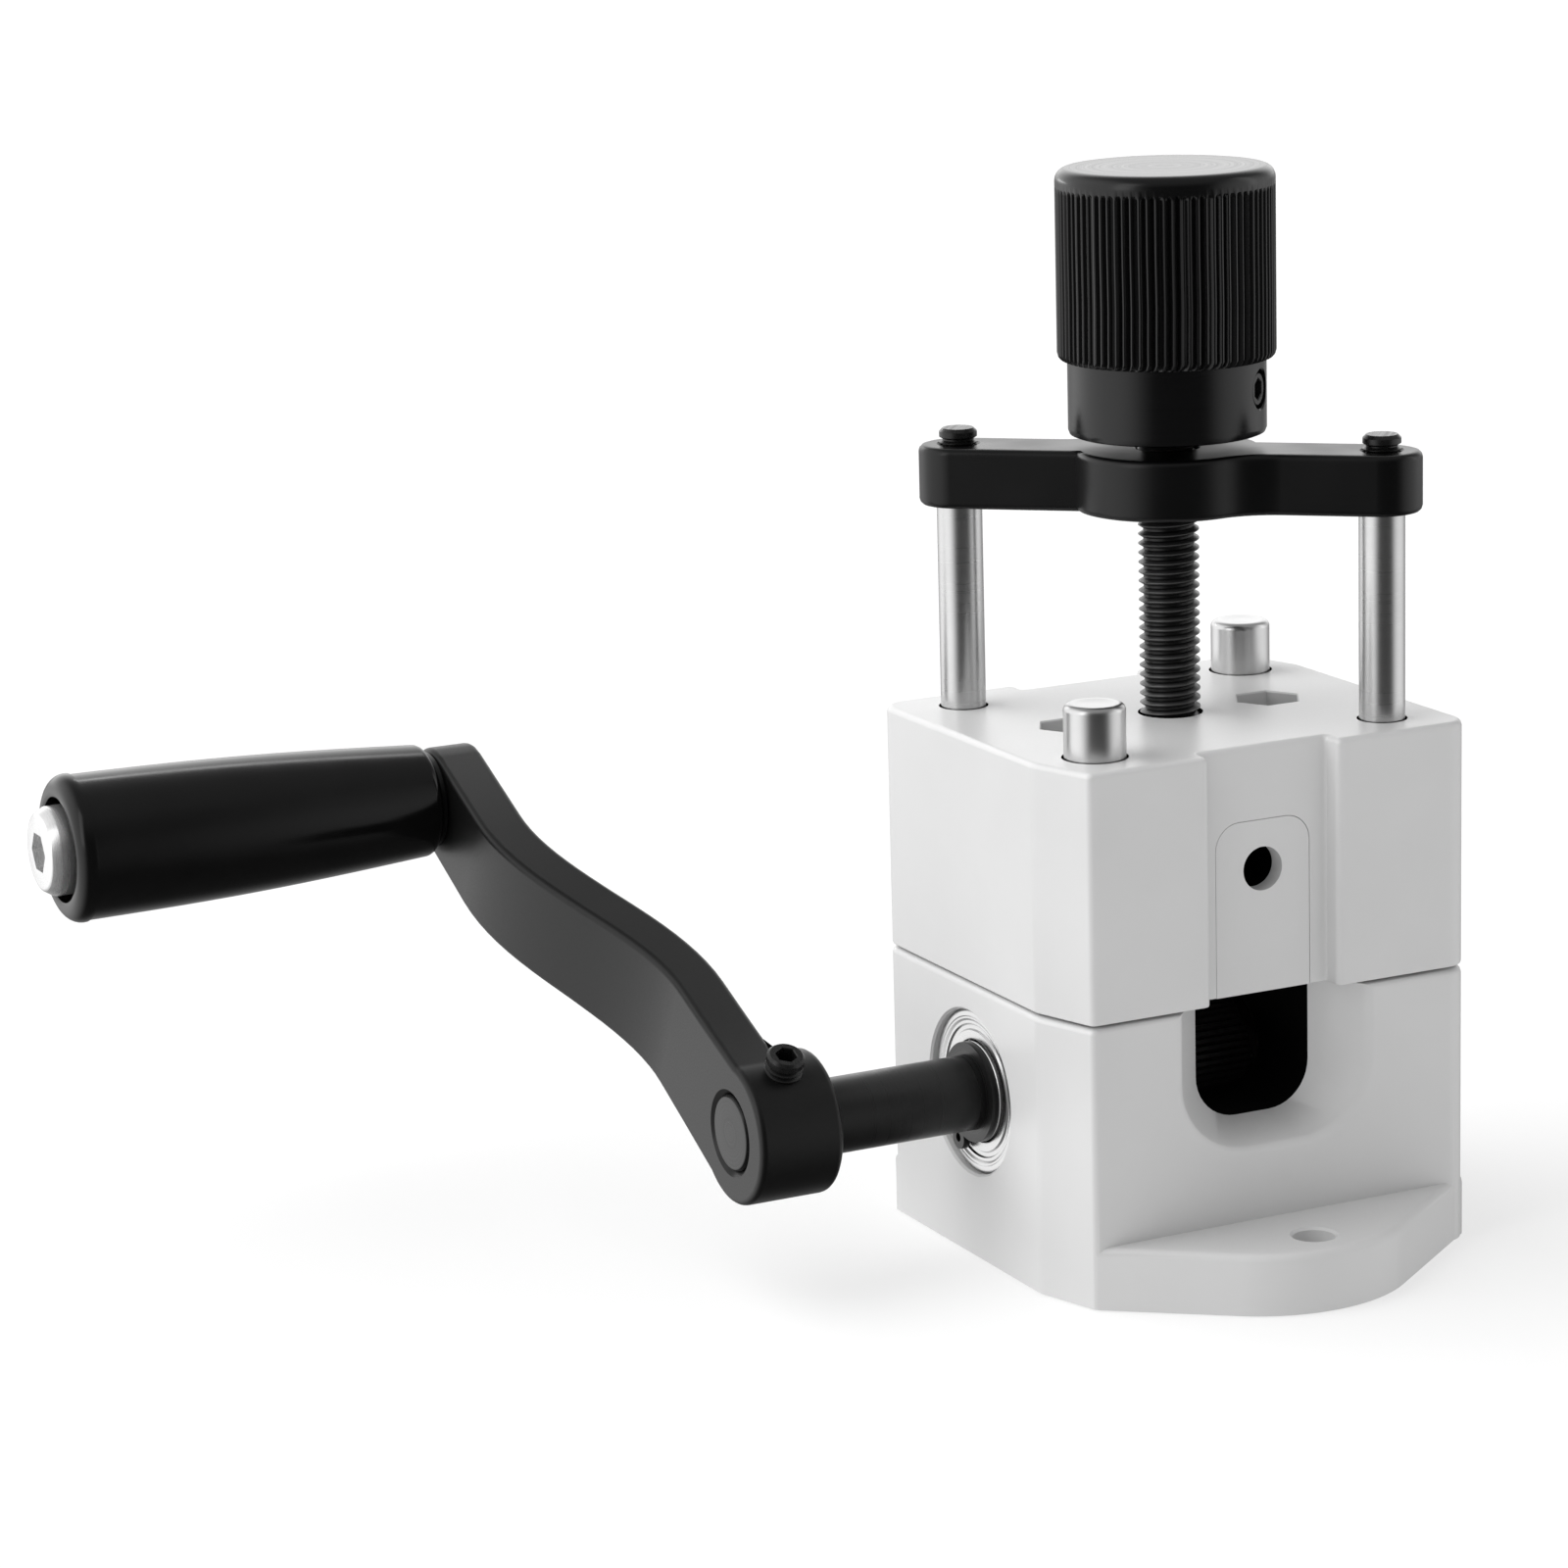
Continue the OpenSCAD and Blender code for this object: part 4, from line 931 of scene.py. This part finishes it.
for label, side in (("left", -1), ("right", 1)):
    r = ringShape
    outer = sideways("outerRing" + label.capitalize(),
                     arcOf((r["outer"] - r["edge"], r["edge"]), r["edge"], 0, -90, 5)
                     + [(10.1, 0), (9.95, 0.12), (r["outerBore"] + 0.25, 0.12), (r["outerBore"], 0.3),
                        (r["outerBore"], 2.2), (r["outerBore"], r["wide"]), (r["outer"] - 0.3, r["wide"]),
                        (r["outer"], r["wide"] - 0.3), (r["outer"], r["edge"])], side)
    finish(outer, "base", ["bearing_%s_outer_ring" % label], [ringSteel])
    shield = sideways("shield" + label.capitalize(),
                      [(9.43, 0.3), (9.2, 0.25), (9.0, 0.3), (8.8, 0.55), (8.3, 0.55), (8.1, 0.3),
                       (7.2, 0.26),
                       (6.95, 0.35), (6.86, 0.6), (9.43, 0.75), (9.43, 0.3)], side)
    finish(shield, "base", ["bearing_%s_shield" % label], [ringSteel])
    inner = sideways("innerRing" + label.capitalize(),
                     [(6.55, 0), (6.7, 0.15), (6.7, 5.85), (6.55, 6), (5.2, 6), (5, 5.8), (5, 0.25),
                      (5.25, 0), (6.55, 0)], side)
    finish(inner, "crank", ["bearing_%s_inner_ring" % label], [ringSteel])

shaftLow, shaftHigh = boxOf("drive_shaft")
shaft = turned("driveShaft", [(0, 0), (4.55, 0), (4.75, 0.06), (4.95, 0.3), (5, 0.5)]
               + [(5, shaftHigh.x - shaftLow.x - 0.5), (4.5, shaftHigh.x - shaftLow.x),
                  (0, shaftHigh.x - shaftLow.x)],
               (shaftLow.x, shaftAt.y, shaftAt.z), (1, 0, 0), 72)
finish(shaft, "crank", ["drive_shaft"], [shaftBlack])

rollerShape = {"radius": 9.5, "teeth": 60, "deep": 0.45}
low, high = boxOf("feed_roller")
roller = turned("feedRoller", [(5, 0), (8.9, 0), (9.5, 0.6), (9.5, 15.4), (8.9, 16), (5, 16), (5, 0)],
                (low.x, shaftAt.y, shaftAt.z), (1, 0, 0), rollerShape["teeth"] * 4)
editPicked(roller, "VERT", lambda p: hypot(p.y - shaftAt.y, p.z - shaftAt.z) > 9.4
           and round(atan2(p.y - shaftAt.y,
                           p.z - shaftAt.z) / (2 * pi) * rollerShape["teeth"] * 4) % 4 == 0)
grow = 1 - rollerShape["deep"] / rollerShape["radius"]
scaleAbout(shaftAt * mm, 1, grow, grow)
leaveEdit()
finish(roller, "crank", ["feed_roller"], [rollerBlack], 25, False)


def eased(node, name, body, material, width, over=30, smooth=32):
    # a small turned or stamped piece: the frame's own shape with its edges broken
    alone(frame["nodes"][node])
    bpy.ops.object.duplicate()
    piece = bpy.context.object
    piece.parent = None
    piece.matrix_world = Matrix.Identity(4)
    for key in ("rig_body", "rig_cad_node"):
        del piece[key]
    piece.name = name
    piece.data.name = name
    editPicked(piece, "VERT", lambda p: True)
    bpy.ops.mesh.remove_doubles(threshold=0.002 * mm)
    bpy.ops.mesh.dissolve_limited(angle_limit=radians(1))
    leaveEdit()
    if width:
        editPicked(piece, "EDGE", lambda a, b: True, over)
        bpy.ops.mesh.bevel(offset=width * mm, segments=2, affect="EDGES", clamp_overlap=True)
        leaveEdit()
    return finish(piece, body, [node], [material], smooth)


for label in ("left", "right"):
    title = label.capitalize()
    eased("circlip_" + label, "circlip" + title, "crank", shaftBlack, 0.12)
    eased("spacer_" + label, "spacer" + title, "crank", drawnSteel, 0.15)
    eased("bearing_%s_balls" % label, "balls" + title, "crank", ringSteel, 0)
    eased("carrier_screw_" + label, "carrierScrew" + title, "head", screwBlack, 0.1)
    eased("carrier_nut_" + label, "carrierNut" + title, "head", drawnSteel, 0.15)
eased("roller_set_screw", "rollerSetScrew", "crank", screwBlack, 0.1)
eased("blade_pin", "bladePin", "head", drawnSteel, 0.2)
eased("blade_washers", "bladeWashers", "head", drawnSteel, 0.1)
eased("slitting_blade", "slittingBlade", "blade", bladeSteel, 0, smooth=8)
eased("screw_washer", "screwWasher", "screw", drawnSteel, 0.1)
eased("screw_clip", "screwClip", "screw", screwBlack, 0.1)
print("bearings, shaft and small pieces done")


# ---- crank ----

crankShape = {"hub": 9.5, "hubLong": 11.9, "thick": 6.8, "reach": 75.7, "lean": 65, "bendFrom": 20,
              "bendTo": 61,
              "offset": 12.2, "hubHalf": 9.1, "waist": 7.7, "end": 7.1, "edge": 0.9, "ring": 5.8,
              "screw": 5, "screwProud": 2.6}
c = crankShape


def bendAt(s):
    # how far the arm has stepped outwards there, and its slope
    t = min(1.0, max(0.0, (s - c["bendFrom"]) / (c["bendTo"] - c["bendFrom"])))
    slope = c["offset"] * pi / 2 * sin(pi * t) / (c["bendTo"] - c["bendFrom"])
    return c["offset"] * (1 - cos(pi * t)) / 2, atan2(slope, 1)


def halfWidthAt(s):
    waistAt = (c["bendFrom"] + c["bendTo"]) / 2
    if s < waistAt:
        return c["hubHalf"] + (c["waist"] - c["hubHalf"]) * s / waistAt
    return c["waist"] + (c["end"] - c["waist"]) * (s - waistAt) / (c["reach"] - waistAt)


# modelled upright about its own shaft, then leaned over
face = shaftLow.x
arm = bar("crankArm", (face, 0, 0), (face + c["hubLong"], 0, 0), c["hub"], 64)
editPicked(arm, "VERT", lambda p: True)
bpy.ops.mesh.bisect(plane_co=((face + c["thick"]) * mm, 0, 0), plane_no=(1, 0, 0))
leaveEdit()
editPicked(arm, "FACE", lambda m, n: n.x < -0.9)
bpy.ops.mesh.inset(thickness=(c["hub"] - c["ring"]) * mm)
extrude((0.8 * mm, 0, 0))
scaleAbout((face * mm, 0, 0), 1, 5.0 / c["ring"], 5.0 / c["ring"])
extrude((1.5 * mm, 0, 0))
leaveEdit()
editPicked(arm, "FACE", lambda m,
           n: m.x < face + c["thick"] and n.z > cos(radians(72)) and hypot(m.y, m.z) > 9 and abs(n.x) < 0.1)
bendSteps = 20
stations = [12, c["bendFrom"]]
stations += [c["bendFrom"] + (c["bendTo"] - c["bendFrom"]) * i / bendSteps
             for i in range(1, bendSteps + 1)] + [c["reach"]]
wide, offset, lean = c["hub"] * sin(radians(73.125)), 0.0, 0.0
extrude((0, 0, 0))
scaleAbout((face * mm, 0, stations[0] * mm), 1, halfWidthAt(stations[0]) / wide, 0)
for before, s in zip(stations, stations[1:]):
    step, tilt = bendAt(s)
    extrude(((offset - step) * mm, 0, (s - before) * mm))
    middle = ((face + c["thick"] / 2 - step) * mm, 0, s * mm)
    scaleAbout(middle, 1, halfWidthAt(s) / halfWidthAt(before), 1)
    bpy.ops.transform.rotate(value=tilt - lean, orient_axis="Y", center_override=middle)
    offset, lean = step, tilt
extrude((0, 0, 0.01 * mm))
leaveEdit()
columns = sorted({round(v.co.y / mm, 3) for v in arm.data.vertices
                  if v.co.z / mm > c["reach"] + 0.005})
for y in columns:
    rise = sqrt(max(0, c["end"] ** 2 - y * y))
    editPicked(arm, "VERT", lambda p: p.z > c["reach"] + 0.005 and abs(p.y - y) < 0.002)
    bpy.ops.transform.translate(value=(0, 0, rise * mm))
    leaveEdit()
editPicked(arm, "VERT", lambda p: True)
bpy.ops.mesh.remove_doubles(threshold=0.02 * mm)
bpy.ops.mesh.dissolve_limited(angle_limit=radians(0.2))  # flat strips become one, which gives the bevel room
bpy.ops.mesh.normals_make_consistent(inside=False)
leaveEdit()
roundEdges(arm, c["edge"], 4, lambda a, b: hypot(a.y, a.z) > 6.5 or hypot(b.y, b.z) > 6.5, 35)
leaned = Matrix.Rotation(-radians(c["lean"]), 4, "X")
arm.matrix_world = Matrix.Translation(Vector((0, shaftAt.y, shaftAt.z)) * mm) @ leaned
finish(arm, "crank", ["crank_arm"], [crankBlack], 35)

screwWay = Vector((0, -cos(radians(c["lean"])), sin(radians(c["lean"]))))
screwFoot = Vector((face + c["hubLong"] / 2, shaftAt.y, shaftAt.z)) + screwWay * 5
crankScrew = ringedBar("crankSetScrew", screwFoot, screwWay, c["screw"], 0.8,
                       c["hub"] - 5 + c["screwProud"], 2.5, 0.35)
finish(crankScrew, "crank", ["crank_set_screw"], [screwBlack], 40)

handleAt = shaftAt + Vector((0, sin(radians(c["lean"])), cos(radians(c["lean"])))) * c["reach"]
boltLow, boltHigh = boxOf("handle_bolt")
gripLow, gripHigh = boxOf("handle_grip")
washerX = boxOf("grip_washer")[1].x
handleShape = {"neck": 7.8, "outer": 10.1, "belly": 0.5, "endRound": 2.2, "neckRound": 1.2, "recess": 7.1,
               "recessDeep": 2.4, "bead": 0.2, "bolt": 3.05, "head": 6.1, "socket": 5}
h = handleShape
gripLong = gripHigh.x - gripLow.x


def outwards(name, profile, fromX, sides=96):
    return turned(name, profile, (fromX, handleAt.y, handleAt.z), (-1, 0, 0), sides)


swell = [(h["neck"] + (h["outer"] - h["bead"] - h["neck"]) * i / 14 + h["belly"] * sin(pi * i / 14),
          h["neckRound"] + (gripLong - h["endRound"] - h["neckRound"]) * i / 14) for i in range(15)]
profile = [(h["bolt"], 0.3), (h["bolt"] + 0.3, 0)] + arcOf((h["neck"] - h["neckRound"], h["neckRound"]),
                                                           h["neckRound"], -90, 0, 5)[:-1]
profile += swell + arcOf((h["outer"] - h["endRound"], gripLong - h["endRound"]), h["endRound"], -8, 90, 9)
profile += [(h["recess"] + 0.4, gripLong), (h["recess"] + 0.1, gripLong - 0.15),
            (h["recess"], gripLong - 0.5),
            (h["recess"], gripLong - h["recessDeep"] - 1.2), (h["bolt"], gripLong - h["recessDeep"] - 1.2),
            (h["bolt"], 0.3)]
grip = outwards("handleGrip", profile, gripHigh.x)
finish(grip, "grip", ["handle_grip"], [gripBlack])

boltLong = boltHigh.x - boltLow.x
profile = [(0, 0), (2.5, 0), (2.5, 6.8), (3, 6.8), (3, boltLong - 5), (5.6, boltLong - 5),
           (h["head"], boltLong - 4.6),
           (h["head"], boltLong - 1.7), (6.03, boltLong - 1.45), (5.35, boltLong - 0.35),
           (5.1, boltLong - 0.12),
           (4.8, boltLong), (0, boltLong)]
bolt = outwards("handleBolt", profile, boltHigh.x)
socket = bar("cut", (boltLow.x - 1, handleAt.y, handleAt.z), (boltLow.x + 2.6, handleAt.y, handleAt.z),
             h["socket"] / 2 / cos(pi / 6), 6, pi / 6)
carve(bolt, socket)
finish(bolt, "crank", ["handle_bolt"], [zincPlated(handleAt)])
washer = outwards("gripWasher", [(3, 0), (6.5, 0), (6.6, 0.1), (6.6, 0.7), (6.5, 0.8), (3, 0.8), (3, 0)],
                  washerX, 64)
finish(washer, "crank", ["grip_washer"], [crankBlack])
print("crank and handle done")


# ---- floor, light and camera ----

alone(None)
bpy.ops.mesh.primitive_circle_add(vertices=96, radius=8, fill_type="NGON", location=(0, 0, -0.0002))
floor = named("floor")
paleFloor, tree, place = newFinish("paleStudioFloor")
surface(tree, {"Base Color": toLinear("#a8a8a8"), "Roughness": 0.9, "Specular IOR Level": 0.1,
               "Emission Color": toLinear("#ffffff"), "Emission Strength": 0.6},
        {})  # lit from below, so shadows stay faint
floor.data.materials.append(paleFloor)
floor.visible_glossy = False  # bright metal and gloss black mirror the studio instead of the floor

lightShape = {"sunStrength": 2.8, "sunSoft": 70, "sunFrom": (-0.62, 0.35, 0.75), "ambient": 0.5}
alone(None)
bpy.ops.object.light_add(type="SUN", location=(-1, 0, 2))
sun = bpy.context.object
sun.name = "overheadSoftbox"
sun.data.energy = lightShape["sunStrength"]
sun.data.angle = radians(lightShape["sunSoft"])
sun.visible_glossy = False
sun.rotation_euler = Vector(lightShape["sunFrom"]).to_track_quat("Z", "Y").to_euler()

softboxes = {
    "leftSoftbox": {"at": (-0.9, -0.25, 0.55), "aim": (0, 0, 0.07), "size": (0.35, 0.9), "power": 1.2},
    "rightSoftbox": {"at": (0.85, -0.25, 0.45), "aim": (0, 0, 0.07), "size": (0.2, 0.9), "power": 0.4},
    "handleStrip": {"at": (-0.055, 0.15, 0.15), "aim": (-0.11, 0.07, 0.06), "size": (0.09, 0.012),
                    "power": 0.012},
}
for name, box in softboxes.items():
    alone(None)
    bpy.ops.object.light_add(type="AREA", location=box["at"])
    lamp = bpy.context.object
    lamp.name = name
    lamp.data.shape = "RECTANGLE"
    lamp.data.size, lamp.data.size_y = box["size"]
    lamp.data.energy = box["power"]
    lamp.visible_diffuse = False  # the cards are only there to be mirrored
    lamp.visible_camera = False
    lamp.rotation_euler = (Vector(box["at"]) - Vector(box["aim"])).to_track_quat("Z", "Y").to_euler()

world = bpy.data.worlds.new("paleStudio")
bpy.context.scene.world = world
world.use_nodes = True
tree = world.node_tree
tree.nodes.clear()
# what gloss mirrors: a card at each side, a bright wall low behind, and near dark where the camera stands
studioCards = [
    {"towards": (-0.90, 0.43, 0), "from": 0.3, "to": 0.95, "bright": 1.45, "above": (-2, -1)},
    {"towards": (0.90, -0.43, 0), "from": 0.6, "to": 1.0, "bright": 1.1, "above": (-2, -1)},
    {"towards": (0.43, 0.90, 0), "from": 0.3, "to": 0.95, "bright": 0.35, "above": (-2, -1)},
    {"towards": (0.43, 0.90, 0), "from": 0.6, "to": 0.95, "bright": 1.2, "above": (-0.1, 0.12)},
    {"towards": (0, 0, 1), "from": 0.3, "to": 0.9, "bright": 0.3, "above": (-2, -1)},
]
way = addNode(tree, "TexCoord", {}, {}).outputs["Generated"]
up = addNode(tree, "SeparateXYZ", {}, {"Vector": way}).outputs["Z"]
seen = None
for card in studioCards:
    facing = addNode(tree, "VectorMath", {"operation": "DOT_PRODUCT", 1: card["towards"]},
                     {0: way}).outputs["Value"]
    lit = addNode(tree, "MapRange",
                  {"interpolation_type": "SMOOTHSTEP", "From Min": card["from"], "From Max": card["to"],
                                     "To Min": 0, "To Max": card["bright"]},
                  {"Value": facing}).outputs["Result"]
    high = addNode(tree, "MapRange", {"interpolation_type": "SMOOTHSTEP", "From Min": card["above"][0],
                                      "From Max": card["above"][1]}, {"Value": up}).outputs["Result"]
    glow = addNode(tree, "Math", {"operation": "MULTIPLY"}, {0: lit, 1: high}).outputs[0]
    if seen is None:
        seen = addNode(tree, "Math", {"operation": "ADD", 1: 0.07}, {0: glow}).outputs[0]
    else:
        seen = addNode(tree, "Math", {"operation": "ADD"}, {0: seen, 1: glow}).outputs[0]
mirrored = addNode(tree, "LightPath", {}, {}).outputs["Is Glossy Ray"]
plain = addNode(tree, "Background", {"Color": (1, 1, 1, 1), "Strength": lightShape["ambient"]}, {})
studio = addNode(tree, "Background", {"Color": (1, 1, 1, 1)}, {"Strength": seen})
both = addNode(tree, "MixShader", {}, {0: mirrored, 1: plain.outputs[0], 2: studio.outputs[0]})
addNode(tree, "OutputWorld", {}, {"Surface": both.outputs[0]})

cameraShape = {"at": (-0.319162, -0.545771, 0.211099), "right": (0.897951, -0.439172, -0.028499),
               "up": (0.125995, 0.194489, 0.972779), "ahead": (0.421674, 0.877099, -0.229975),
               "lens": 112.5}
alone(None)
bpy.ops.object.camera_add(location=cameraShape["at"])
camera = bpy.context.object
camera.name = "camera"
axes = Matrix((cameraShape["right"], cameraShape["up"], -Vector(cameraShape["ahead"]))).transposed()
camera.rotation_euler = axes.to_euler()
camera.data.sensor_width = 36
camera.data.lens = cameraShape["lens"]
camera.data.clip_start = 0.01
camera.data.clip_end = 50
bpy.context.scene.camera = camera
bpy.context.scene.view_settings.view_transform = "Standard"

print("scene ready")
